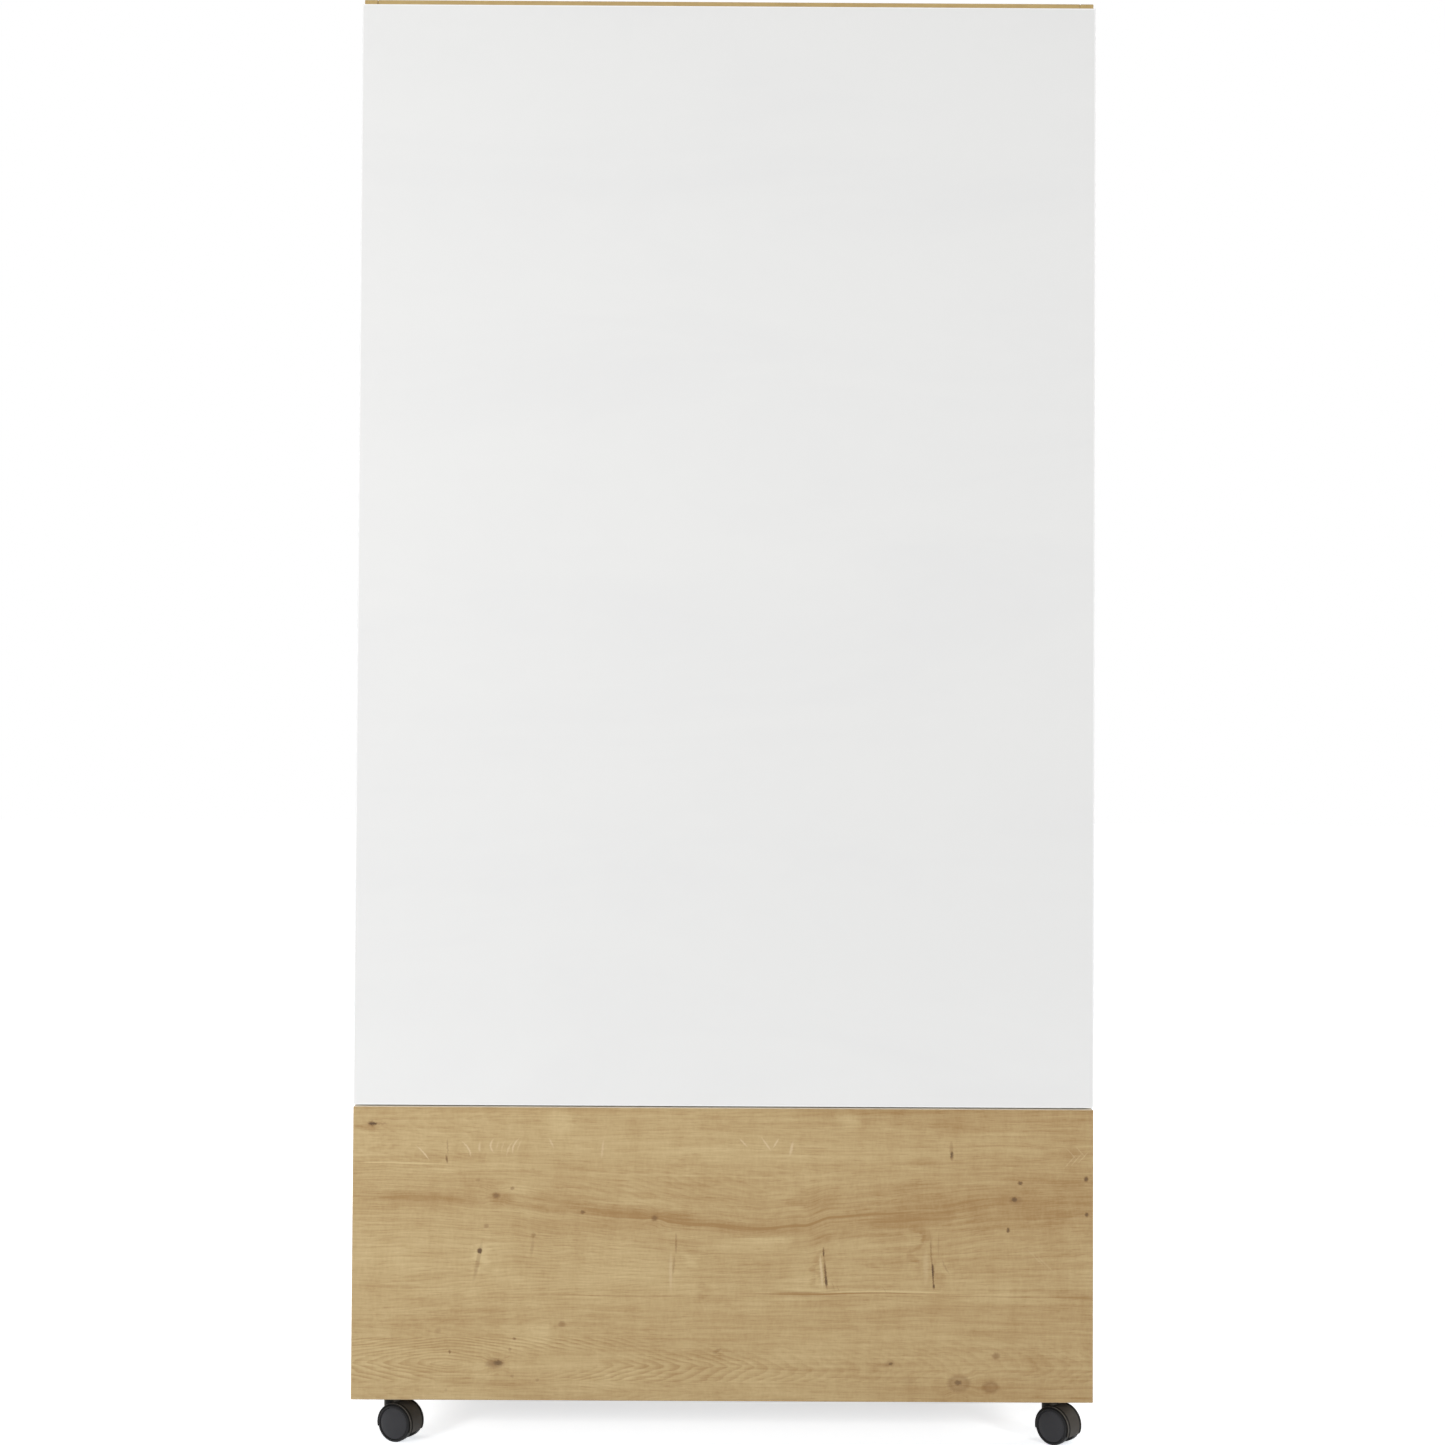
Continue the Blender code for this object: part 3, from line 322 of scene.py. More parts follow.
# Broad soft patches: centre X, centre Z, half length, half height, tilt, bend, brownness
PATCHES = [
    (-0.372, 0.0973, 0.055, 0.019, 0, 0, 0.20),
    (-0.275, 0.0920, 0.035, 0.016, 0, 0, 0.08),
    (-0.385, 0.3900, 0.100, 0.013, 0, 0, 0.20),
    (0.464, 0.3950, 0.045, 0.013, 0, 0, 0.26),
    (0.270, 0.3820, 0.035, 0.013, 0, 0, 0.18),
    (-0.059, 0.3846, 0.018, 0.013, 0, 0, 0.16),
    (0.113, 0.3300, 0.050, 0.020, 0, 0, 0.26),
    (0.270, 0.2880, 0.016, 0.017, 0, 0, 0.26),
    (0.264, 0.2620, 0.007, 0.040, 0, 0, 0.20),
    (0.206, 0.2470, 0.014, 0.005, 0, 0, 0.20),
    (0.032, 0.2906, 0.120, 0.009, 0, 0, 0.12),
    (0.190, 0.2860, 0.080, 0.006, 0, 0, 0.16),
    (0.128, 0.2400, 0.007, 0.032, 0, 0, 0.22),
    (0.291, 0.2370, 0.010, 0.026, 0, 0, 0.18),
    (-0.032, 0.2100, 0.018, 0.015, 0, 0, 0.20),
    (-0.372, 0.2260, 0.070, 0.014, 0, 0, 0.16),
    (-0.447, 0.2745, 0.030, 0.013, 0, 0, 0.20),
    (0.450, 0.3175, 0.060, 0.010, 0, 0, 0.22),
    (0.313, 0.4380, 0.035, 0.015, 0, 0, 0.16),
    (0.167, 0.1967, 0.055, 0.008, 0, 0, 0.16),
    (0.340, 0.1510, 0.110, 0.008, 0, 0, 0.16),
    (-0.183, 0.1670, 0.050, 0.011, 0, 0, 0.13),
    (0.367, 0.0866, 0.036, 0.012, 0, 0, 0.16),
    (-0.474, 0.4300, 0.014, 0.009, 0, 0, 0.40),
    (-0.300, 0.3330, 0.026, 0.011, 0, 0, 0.28),
    (-0.264, 0.3520, 0.036, 0.014, 0, 0, -0.24),
    (-0.102, 0.3270, 0.110, 0.010, 0.5, 0, -0.16),
    (-0.3235, 0.2557, 0.012, 0.024, 0, 0, -0.34),
    (-0.253, 0.1510, 0.036, 0.021, 0, 0, -0.22),
    (0.113, 0.2210, 0.048, 0.015, 0, 0, -0.28),
    (0.038, 0.2720, 0.080, 0.009, 0, 0, -0.26),
    (0.1725, 0.4437, 0.024, 0.018, 0, 0, -0.24),
    (0.302, 0.2450, 0.024, 0.015, 0, 0, -0.20),
    (0.410, 0.2047, 0.100, 0.010, 0, 0, -0.24),
    (-0.183, 0.0866, 0.070, 0.015, 0, 0, -0.20),
    (-0.0485, 0.2530, 0.014, 0.018, 0, 0, -0.22),
    (-0.226, 0.4356, 0.024, 0.024, 0, 0, -0.18),
]
# Grain pushed aside above and below each larger knot: centre X, centre Z, reaches, tilt, bend, push
PUSHES = [
    (-0.306, 0.345, 0.02, 0.009, 0, 0, 0.0035),
    (-0.306, 0.331, 0.02, 0.009, 0, 0, -0.0035),
    (-0.092, 0.316, 0.018, 0.008, 0, 0, 0.003),
    (-0.092, 0.303, 0.018, 0.008, 0, 0, -0.003),
    (0.321, 0.099, 0.026, 0.012, 0, 0, 0.0045),
    (0.321, 0.079, 0.026, 0.012, 0, 0, -0.0045),
    (-0.303, 0.119, 0.022, 0.008, 0, 0, 0.0035),
    (-0.303, 0.105, 0.022, 0.008, 0, 0, -0.0035),
]
# Across the front panel from its lower edge: share of its height, brownness
FRONT_TONES = [
    (0.0, 0.47),
    (0.055, 0.46),
    (0.09, 0.40),
    (0.14, 0.40),
    (0.22, 0.42),
    (0.277, 0.50),
    (0.35, 0.43),
    (0.41, 0.38),
    (0.52, 0.42),
    (0.59, 0.54),
    (0.645, 0.64),
    (0.70, 0.55),
    (0.78, 0.51),
    (0.86, 0.34),
    (0.93, 0.46),
    (0.97, 0.48),
    (1.0, 0.64),
]
# Planks from the lower edge: share where each starts, its heart's X share, Z share, stretch, rings, seam
FRONT_PLANKS = [
    (0.0, 0.30, 0.030, 0.55, 0.35, 0.0),
    (0.065, 0.128, 0.118, 0.66, 1.25, 0.05),
    (0.212, 0.62, 0.245, 0.40, 0.25, 0.08),
    (0.360, 0.05, 0.690, 0.45, 0.45, 0.12),
    (0.803, 0.52, 0.850, 0.50, 0.25, 0.10),
    (0.894, 0.85, 0.960, 0.45, 0.30, 0.05),
]
# The wave of the grain through the widest plank: along X, then how much of it there is across
SWAY_ALONG = [
    (0.067, 1.0),
    (0.202, 0.785),
    (0.283, 0.572),
    (0.371, 0.356),
    (0.478, 0.106),
    (0.549, 0.0),
    (0.609, 0.106),
    (0.647, 0.394),
    (0.714, 0.5),
    (0.782, 0.606),
    (0.876, 0.856),
    (1.0, 0.963),
]
SWAY_ACROSS = [(0.36, 0.0), (0.58, 1.0), (0.68, 1.0), (0.80, 0.0)]
SWAY_REACH = 0.0376
# Along X, how much of its rings shows, and how much browner it gets from end to end
RING_FADE = [(0.0, 1.0), (0.30, 1.0), (0.52, 0.65), (0.68, 0.35), (1.0, 0.30)]
FRONT_DRIFT = 0.24
FRONT_SEED = 3.7

# Fine castor shapes, in the castor's own frame: origin under the swivel, +X trailing, +Y along the axle
CORNERS = ("front_left", "front_right", "rear_left", "rear_right")
AXLE_HEIGHT = 0.024786
TRAIL = 0.0125
WHEEL_INNER_FACE = 0.0070
WHEEL_RADIUS = 0.02478
WHEEL_WIDTH = 0.0115
WHEEL_BORE = 0.0033
WHEEL_SHOULDER = 0.0022
RECESS_RADIUS = 0.0213
RECESS_FLOOR = 0.0085
RECESS_CHAMFER = 0.0004
PARTING_DEPTH = 0.00008
PARTING_HALF = 0.00015
CAP_RADIUS = 0.0210
CAP_EDGE = 0.0109
CAP_CROWN = 0.0026
CAP_FLATNESS = 3
CAP_STEPS = 16
CAP_SHOULDER = 0.0009
CAP_BACK = 0.0088
CAP_POCKET = 0.0049
CAP_POCKET_FLOOR = 0.0101
HOOD_RADIUS = 0.02692
HOOD_HALF_WIDTH = 0.0169
HOOD_WALL = 0.0015
HOOD_EDGE = 0.0009
HOOD_SKIN_TOP = 0.0002
HOOD_SKIN_BOTTOM = 0.0004
GROOVE_LOW = 0.0114
GROOVE_HIGH = 0.0142
GROOVE_DEPTH = 0.0005
WEB_HALF = 0.0065
STEM_CUT = math.radians(12)
TRAIL_CUT = math.radians(25)
LOWER_CORNER = 0.004
BOSS_RADIUS = 0.0119
BOSS_TOP = 0.0590
BOSS_EDGE = 0.0012
KINGPIN_BORE = 0.0043
KINGPIN_FLOOR = 0.0319
PEDAL_ELEVATION = math.radians(35)
PEDAL_REACH = 0.0205
SLOT_LOW = (-0.0031, -0.0043, -0.0034)
SLOT_HIGH = (0.0085, 0.0043, 0.0031)
TRUNNION_BORE = 0.0015
TRUNNION_SPAN = 0.0118
FACE_FADE_START = 0.0017
FACE_FADE_END = 0.0011
ROUND_SIDES = 96
BORE_SIDES = 32
TRUNNION_SIDES = 24
STUD_SIDES = 40
COVER_SIDES = 48
CUT_OVERRUN = 0.002
SAME_POINT = 1e-7
SHARP_ANGLE = math.radians(32)
QUARTER_TURN = math.radians(90)

# Shelf studs and the covers of the cam bolts
STUD_PROFILE = [
    (0, 0.0095),
    (0.0021, 0.0095),
    (0.0025, 0.0090),
    (0.0025, 0),
    (0.0045, 0),
    (0.0045, -0.0009),
    (0.0042, -0.0012),
    (0.0032, -0.0012),
    (0.0031, -0.0086),
    (0.0027, -0.0093),
    (0.0019, -0.0097),
    (0, -0.0097),
]
COVER_PROFILE = [
    (0, 0.00095),
    (0.0040, 0.00090),
    (0.0066, 0.00072),
    (0.0074, 0.00050),
    (0.0078, 0.00020),
    (0.0078, 0),
    (0, 0),
]
COVER_END_INSET = 0.034
COVER_EDGE_INSET = 0.055


class Graph:
    """A material's node tree, with calls that read like sums."""

    def __init__(self, tree):
        self.tree = tree

    def put(self, socket, value):
        if isinstance(value, bpy.types.NodeSocket):
            self.tree.links.new(value, socket)
        elif value is not None:
            if isinstance(value, tuple) and socket.type == "RGBA" and len(value) == 3:
                value = (*value, 1.0)
            socket.default_value = value

    def add(self, kind, *values, **settings):
        node = self.tree.nodes.new("ShaderNode" + kind)
        for key, value in settings.items():
            setattr(node, key, value)
        for socket, value in zip(node.inputs, values):
            self.put(socket, value)
        return node

    def math(self, operation, *values, clamp=False):
        return self.add("Math", *values, operation=operation, use_clamp=clamp).outputs[0]

    def plus(self, a, b):
        return self.math("ADD", a, b)

    def minus(self, a, b):
        return self.math("SUBTRACT", a, b)

    def times(self, a, b):
        return self.math("MULTIPLY", a, b)

    def scaled_sum(self, a, b, c):
        return self.math("MULTIPLY_ADD", a, b, c)

    def vector(self, x, y, z):
        return self.add("CombineXYZ", x, y, z).outputs[0]

    def split(self, vector):
        return self.add("SeparateXYZ", vector).outputs

    def stretch(self, vector, scale, offset=(0, 0, 0)):
        node = self.add("VectorMath", vector, tuple(scale), tuple(offset), operation="MULTIPLY_ADD")
        return node.outputs[0]

    def noise(self, vector, scale=1.0, detail=3.0, roughness=0.5, distortion=0.0):
        node = self.add("TexNoise")
        self.put(node.inputs["Vector"], vector)
        for name, value in (
            ("Scale", scale),
            ("Detail", detail),
            ("Roughness", roughness),
            ("Distortion", distortion),
        ):
            node.inputs[name].default_value = value
        return node.outputs["Fac"]

    def ramp(self, value, stops, smooth=True):
        node = self.add("ValToRGB", value)
        curve = node.color_ramp
        curve.interpolation = "EASE" if smooth else "CONSTANT"
        while len(curve.elements) > 1:
            curve.elements.remove(curve.elements[-1])
        curve.elements[0].position = stops[0][0]
        for place, level in stops:
            element = curve.elements[0] if place == stops[0][0] else curve.elements.new(place)
            colour = level if isinstance(level, tuple) else (level, level, level)
            element.color = (*colour, 1.0)
        return node.outputs["Color"]

    def between(self, value, low, high, to_low=0.0, to_high=1.0):
        """Maps low to to_low and high to to_high, eased and held beyond."""
        node = self.add("MapRange", value, low, high, to_low, to_high)
        node.interpolation_type = "SMOOTHSTEP"
        return node.outputs[0]

    def mix(self, share, a, b):
        node = self.add("Mix", data_type="RGBA", clamp_factor=True)
        for index, value in ((0, share), (6, a), (7, b)):
            self.put(node.inputs[index], value)
        return node.outputs[2]

    def blend(self, share, a, b):
        node = self.add("Mix", data_type="FLOAT", clamp_factor=True)
        for index, value in ((0, share), (2, a), (3, b)):
            self.put(node.inputs[index], value)
        return node.outputs[0]

    def bump(self, height, distance, strength=1.0):
        node = self.add("Bump")
        node.inputs["Strength"].default_value = strength
        node.inputs["Distance"].default_value = distance
        self.put(node.inputs["Height"], height)
        return node.outputs[0]


def new_material(name):
    material = bpy.data.materials.new(name)
    material.use_nodes = True
    graph = Graph(material.node_tree)
    shader = material.node_tree.nodes["Principled BSDF"]
    return material, graph, shader


def place_group():
    """A group whose output falls from 1 at a centre to 0 at an ellipse round it, added to a sum."""
    group = bpy.data.node_groups.new("grain_mark", "ShaderNodeTree")
    names = ["Sum", "U", "V", "Centre U", "Centre V", "Radius U", "Radius V", "Tilt", "Bend", "Strength"]
    for name in names:
        group.interface.new_socket(name, in_out="INPUT", socket_type="NodeSocketFloat")
    group.interface.new_socket("Sum", in_out="OUTPUT", socket_type="NodeSocketFloat")
    graph = Graph(group)
    given = group.nodes.new("NodeGroupInput").outputs
    across = graph.minus(given[2], given[4])
    along = graph.minus(given[1], given[3])
    along = graph.minus(along, graph.times(given[7], across))
    along = graph.minus(along, graph.times(given[8], graph.times(across, across)))
    along = graph.math("DIVIDE", along, given[5])
    across = graph.math("DIVIDE", across, given[6])
    reach = graph.plus(graph.times(along, along), graph.times(across, across))
    shade = graph.between(reach, 1.0, 0.0)
    result = graph.scaled_sum(shade, given[9], given[0])
    out = group.nodes.new("NodeGroupOutput")
    group.links.new(result, out.inputs[0])
    return group


GRAIN_MARK = place_group()


def add_marks(graph, u, v, marks):
    """The summed strength of the marks, each given as its centre, radii, tilt, bend and strength."""
    total = 0.0
    for mark in marks:
        node = graph.tree.nodes.new("ShaderNodeGroup")
        node.node_tree = GRAIN_MARK
        for socket, value in zip(node.inputs, (total, u, v, *mark)):
            graph.put(socket, value)
        total = node.outputs[0]
    return total


def grain(graph, spot, noise, shift):
    """One of the oak's noises at a spot whose X runs along the grain."""
    along, across, detail, roughness = noise
    return graph.noise(graph.stretch(spot, (along, across, across), shift), 1.0, detail, roughness)


def share_between(graph, value, low, high):
    return graph.math("DIVIDE", graph.minus(value, low), high - low)


def oak(name, board, along, across, tones, planks, seed, knots, edge=PLAIN_EDGE, front=False):
    """Oak laminate on one board: planks side by side, each with its rings, streaks, pores and knots.

    along and across are 0, 1 or 2 for X, Y or Z. tones lists (share of the width, brownness), and
    planks lists (share where it starts, its heart's share along and across, stretch, rings, seam).
    front adds what only the front panel has: flecks, lines, patches, pushed and swaying grain, and painted
    light on its upward faces."""
    material, graph, shader = new_material(name)
    low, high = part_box(board)
    through = 3 - along - across
    place = graph.split(graph.add("TexCoord").outputs["Object"])
    facing = graph.split(graph.add("NewGeometry").outputs["Normal"])
    in_front = graph.between(facing[through], -0.5, -0.9) if front else None
    at_end = graph.between(graph.math("ABSOLUTE", facing[along]), 0.6, 0.8)
    u = graph.blend(at_end, place[along], place[across])
    true_v = graph.blend(at_end, place[across], place[along])
    length_share = share_between(graph, u, low[along], high[along])
    width_share = share_between(graph, place[across], low[across], high[across])

    # Seams are straight, and the grain between them wanders
    straight = graph.vector(u, true_v, place[through])
    wander = grain(graph, straight, WANDER_NOISE, (seed, 0, seed))
    wander = graph.times(graph.minus(wander, 0.5), WANDER_REACH)
    if front:
        sway = graph.minus(0.5, graph.ramp(length_share, SWAY_ALONG))
        sway = graph.times(graph.times(sway, graph.ramp(width_share, SWAY_ACROSS)), SWAY_REACH)
        wander = graph.plus(graph.plus(wander, sway), add_marks(graph, u, true_v, PUSHES))
    v = graph.plus(true_v, wander)
    spot = graph.vector(u, v, place[through])

    # Growth rings run round the heart line of each plank
    hearts = [(start, (heart_u, heart_v, stretch)) for start, heart_u, heart_v, stretch, _, _ in planks]
    heart = graph.split(graph.ramp(width_share, hearts, smooth=False))
    heart_u = graph.scaled_sum(heart[0], high[along] - low[along], low[along])
    heart_v = graph.scaled_sum(heart[1], high[across] - low[across], low[across])
    ring_u = graph.times(graph.minus(u, heart_u), graph.times(heart[2], RING_SQUEEZE))
    wobble = grain(graph, spot, WOBBLE_NOISE, (0, seed, 0))
    rings = growth_rings(graph, ring_u, graph.minus(v, heart_v), wobble)
    strengths = [(start, strength) for start, _, _, _, strength, _ in planks]
    ringed = graph.between(grain(graph, spot, RINGED_NOISE, (seed, 3, 0)), 0.34, 0.58)
    ringed = graph.times(graph.ramp(width_share, strengths, smooth=False), ringed)
    if front:
        ringed = graph.times(ringed, graph.ramp(length_share, RING_FADE))

    # Streaks and pores run along the grain
    streak = grain(graph, spot, STREAK_NOISE, (seed, seed, 0))
    patch = grain(graph, spot, PATCH_NOISE, (0, 0, seed))
    cross = grain(graph, spot, CROSS_NOISE, (0, 0, 0))
    flame = grain(graph, spot, FLAME_NOISE, (seed, 0, seed))
    pores = graph.between(grain(graph, spot, PORE_NOISE, (0, seed, seed)), 0.56, 0.70)
    brown = graph.ramp(share_between(graph, v, low[across], high[across]), tones)
    depths = ((streak, STREAK_DEPTH), (patch, PATCH_DEPTH), (cross, CROSS_DEPTH), (flame, FLAME_DEPTH))
    for layer, depth in depths:
        brown = graph.scaled_sum(graph.minus(layer, 0.5), depth, brown)
    brown = graph.scaled_sum(graph.times(graph.minus(rings, RING_MIDDLE), ringed), RING_DEPTH, brown)
    brown = graph.scaled_sum(pores, PORE_DEPTH, brown)
    brown = graph.plus(brown, graph.ramp(width_share, seam_stops(planks)))
    if front:
        brown = graph.scaled_sum(graph.minus(length_share, 0.5), FRONT_DRIFT, brown)
        brown = graph.scaled_sum(front_lines(graph, u, v, true_v, patch), in_front, brown)

    colour = graph.mix(brown, OAK_LIGHT, OAK_BROWN)
    colour = knotted(graph, colour, spot, u, true_v, knots, in_front)
    colour = edge_banded(graph, colour, place, facing, low, high, through, edge)
    # Painted light on the front panel's upward faces, in the joint under the sheet
    if front:
        colour = graph.mix(graph.between(facing[2], 0.5, 0.9), colour, JOINT_PAINTED_LIGHT)
    graph.put(shader.inputs["Base Color"], colour)
    graph.put(shader.inputs["Roughness"], graph.scaled_sum(streak, OAK_ROUGH_STREAK, OAK_ROUGH))
    height = graph.minus(streak, graph.times(pores, OAK_PORE_DEPTH))
    graph.put(shader.inputs["Normal"], graph.bump(height, OAK_BUMP))
    shader.inputs["Specular IOR Level"].default_value = OAK_SPECULAR
    return material


def growth_rings(graph, from_heart_u, from_heart_v, wobble):
    """Rings round a heart line, each fading in slowly and out fast, as wood shows them."""
    ring_u = graph.math("POWER", graph.math("ABSOLUTE", from_heart_u), RING_POINT)
    ring_v = graph.math("POWER", graph.math("ABSOLUTE", from_heart_v), RING_POINT)
    reach = graph.math("POWER", graph.plus(ring_u, ring_v), 1 / RING_POINT)
    ring = graph.math("FRACT", graph.scaled_sum(reach, RINGS_PER_METRE, graph.times(wobble, RING_WOBBLE)))
    return graph.times(graph.between(ring, 0.1, 0.85), graph.between(ring, 1.0, 0.85))


def front_lines(graph, u, v, true_v, patch):
    """What the broad patches and the dark and light streaks add to the front panel's brownness."""
    drift = graph.minus(patch, 0.5)
    patch_u = graph.scaled_sum(drift, PATCH_DRIFT_ALONG, u)
    patch_v = graph.scaled_sum(drift, PATCH_DRIFT_ACROSS, true_v)
    lines = graph.plus(add_marks(graph, patch_u, patch_v, PATCHES), add_marks(graph, v, u, DARK_STREAKS))
    return graph.minus(lines, add_marks(graph, v, u, LIGHT_STREAKS))


def knotted(graph, colour, spot, u, v, knots, in_front):
    """Adds knots, and on the front panel its flecks, with both on its front face alone."""
    ragged_u = graph.minus(graph.noise(spot, RAGGED_SCALE_ALONG), 0.5)
    ragged_u = graph.scaled_sum(ragged_u, RAGGED_REACH_ALONG, u)
    ragged_v = graph.minus(graph.noise(spot, RAGGED_SCALE_ACROSS), 0.5)
    ragged_v = graph.scaled_sum(ragged_v, RAGGED_REACH_ACROSS, v)
    dark = add_marks(graph, ragged_u, ragged_v, knots)
    if in_front:
        flecks = graph.times(add_marks(graph, ragged_u, v, FLECKS), in_front)
        colour = graph.mix(flecks, colour, OAK_FLECK)
        dark = graph.times(dark, in_front)
    colour = graph.mix(graph.between(dark, 0.0, 0.80, 0.0, 0.66), colour, OAK_KNOT)
    return graph.mix(graph.between(dark, 0.50, 1.05, 0.0, 0.85), colour, OAK_DARK)


def seam_stops(planks):
    """The stops of a ramp that darkens a thin line where each plank starts."""
    stops = [(0.0, 0.0)]
    for start, _, _, _, _, seam in planks:
        if seam:
            stops += [(start - SEAM_HALF_SHARE, 0.0), (start, seam), (start + SEAM_HALF_SHARE, 0.0)]
    return stops


def edge_banded(graph, colour, place, facing, low, high, through, edge):
    """Turns the colour to the edge band's on the board's edges and within its thickness of them. On the front
    panel that colour is lightened as a painted highlight on its rounded edges.
    """
    nearest = 1.0
    for axis in range(3):
        from_low = graph.minus(place[axis], low[axis])
        inward = graph.math("MINIMUM", from_low, graph.minus(high[axis], place[axis]))
        own = graph.between(graph.math("ABSOLUTE", facing[axis]), 0.5, 0.9)
        nearest = graph.math("MINIMUM", nearest, graph.plus(inward, own))
    rim = graph.between(nearest, EDGE_BAND_WIDTH, EDGE_BAND_WIDTH * 0.75)
    side = graph.between(graph.math("ABSOLUTE", facing[through]), 0.9, 0.5, 0.0, EDGE_SIDE_COVER)
    return graph.mix(graph.math("MAXIMUM", graph.times(rim, EDGE_BAND_COVER), side), colour, edge)


def plain_planks(seed):
    """Tones and planks for a board that the photograph doesn't show, varied by waves of its seed."""
    tones, planks = [], []
    for number in range(PLAIN_PLANKS):
        start = number / PLAIN_PLANKS
        level = PLAIN_BROWN + PLAIN_SWING * math.sin(seed * 1.7 + number * 2.4)
        tones += [(start, level + PLAIN_START_TONE), (start + 0.5 / PLAIN_PLANKS, level)]
        heart_u = 0.5 + 0.42 * math.sin(seed * 3.1 + number * 1.9)
        heart_v = start + (0.5 + 0.4 * math.cos(seed + number)) / PLAIN_PLANKS
        stretch = 0.45 + 0.15 * math.cos(seed + number * 2.9)
        planks.append((start, heart_u, heart_v, stretch, PLAIN_RINGS, PLAIN_SEAM if number else 0.0))
    return tones, planks


def plain_knots(board, along, across, seed, count):
    """A few small knots, spread evenly over a board that the photograph doesn't show."""
    low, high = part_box(board)
    knots = []
    for number in range(count):
        share_u = (0.13 + 0.381966 * number * 1.618 + 0.271 * seed) % 1
        share_v = (0.29 + 0.754878 * number + 0.177 * seed) % 1
        size = PLAIN_KNOT + PLAIN_KNOT * ((0.569840 * number + 0.31 * seed) % 1)
        centre_u = low[along] + share_u * (high[along] - low[along])
        centre_v = low[across] + share_v * (high[across] - low[across])
        knots.append((centre_u, centre_v, size * 2.0, size * 1.5, 0, 0, PLAIN_KNOT_STRENGTH))
    return knots


def noisy_finish(name, base, other, scale, turn, rough, bump, metallic, specular):
    """A finish whose colour and roughness vary with one noise, and its surface with a finer one."""
    material, graph, shader = new_material(name)
    place = graph.add("TexCoord").outputs["Object"]
    wide = graph.noise(place, scale, FINISH_DETAIL)
    fine = graph.noise(place, scale * FINER_SCALE, FINER_DETAIL)
    worn = graph.between(wide, *turn)
    graph.put(shader.inputs["Base Color"], graph.mix(worn, base, other))
    graph.put(shader.inputs["Roughness"], graph.scaled_sum(wide, rough[1] - rough[0], rough[0]))
    graph.put(shader.inputs["Normal"], graph.bump(fine, bump))
    shader.inputs["Metallic"].default_value = metallic
    shader.inputs["Specular IOR Level"].default_value = specular
    return material


def overlay(material, colour, share_of):
    """Covers part of a finish with a colour: share_of gives 1 there from its place and its normal."""
    graph = Graph(material.node_tree)
    base = material.node_tree.nodes["Principled BSDF"].inputs["Base Color"]
    coordinates = graph.add("TexCoord").outputs
    share = share_of(graph, graph.split(coordinates["Object"]), graph.split(coordinates["Normal"]))
    graph.put(base, graph.mix(graph.times(share, OVERLAY_COVER), base.links[0].from_socket, colour))


def hood_shade_share(graph, place, normal):
    """Painted shade: the hood's rims, and all of it that is nearer to its axle than its outer face, turned
    near black.
    """
    rim = graph.between(graph.math("ABSOLUTE", normal[1]), 0.80, 0.95)
    x = graph.minus(place[0], TRAIL)
    z = graph.minus(place[2], AXLE_HEIGHT)
    reach = graph.math("SQRT", graph.plus(graph.times(x, x), graph.times(z, z)))
    inside = graph.between(reach, HOOD_RADIUS - HOOD_SKIN_TOP, HOOD_RADIUS - HOOD_SKIN_BOTTOM)
    return graph.math("MAXIMUM", rim, inside)


def hood_edge_wear_and_highlight(graph, place, normal):
    """The rounded edges beside the hood's rims, lighter partly as wear and partly as a painted highlight."""
    lean = graph.math("ABSOLUTE", normal[1])
    return graph.times(graph.between(lean, 0.08, 0.25), graph.between(lean, 0.90, 0.70))


def wheel_face(graph, place, normal):
    """The wheel's outer face, round its cap."""
    return graph.between(place[2], WHEEL_WIDTH - FACE_FADE_START, WHEEL_WIDTH - FACE_FADE_END)


def paint(name, material):
    node = NODES[name]
    node.data.materials.clear()
    node.data.materials.append(material)


def arc(centre, radius, start, end, steps=6):
    """Points round a centre, from one angle in degrees to another."""
    points = []
    for step in range(steps + 1):
        angle = math.radians(start + (end - start) * step / steps)
        points.append((centre[0] + radius * math.cos(angle), centre[1] + radius * math.sin(angle)))
    return points


def lathe(profile, sides=ROUND_SIDES, ring=False):
    """A shape turned about Z from (radius, height) points."""
    shape = bmesh.new()
    points = [shape.verts.new((radius, 0, height)) for radius, height in profile]
    pairs = list(zip(points, points[1:] + points[:1] * ring))
    edges = [shape.edges.new(pair) for pair in pairs]
    turn = 2 * math.pi
    bmesh.ops.spin(shape, geom=points + edges, axis=(0, 0, 1), angle=turn, steps=sides, use_merge=True)
    bmesh.ops.remove_doubles(shape, verts=shape.verts, dist=SAME_POINT)
    bmesh.ops.recalc_face_normals(shape, faces=shape.faces)
    return shape


def rod(radius, length, centre, axis, sides=ROUND_SIDES):
    turn = {"Y": Matrix.Rotation(QUARTER_TURN, 4, "X"), "Z": Matrix.Identity(4)}[axis]
    shape = bmesh.new()
    bmesh.ops.create_cone(
        shape,
        cap_ends=True,
        segments=sides,
        radius1=radius,
        radius2=radius,
        depth=length,
        matrix=Matrix.Translation(centre) @ turn,
    )
    return shape


def block(low, high):
    size = [h - l for l, h in zip(low, high)]
    centre = [(h + l) / 2 for l, h in zip(low, high)]
    shape = bmesh.new()
    bmesh.ops.create_cube(shape, size=1, matrix=Matrix.Translation(centre) @ Matrix.Diagonal((*size, 1)))
    return shape


def prism(outline, low, high):
    """A flat outline in Y and Z, drawn out along X from low to high."""
    shape = bmesh.new()
    rings = [[shape.verts.new((x, y, z)) for y, z in outline] for x in (low, high)]
    shape.faces.new(rings[0])
    shape.faces.new(rings[1])
    count = len(outline)
    for number in range(count):
        after = (number + 1) % count
        shape.faces.new((rings[0][number], rings[0][after], rings[1][after], rings[1][number]))
    bmesh.ops.recalc_face_normals(shape, faces=shape.faces)
    return shape


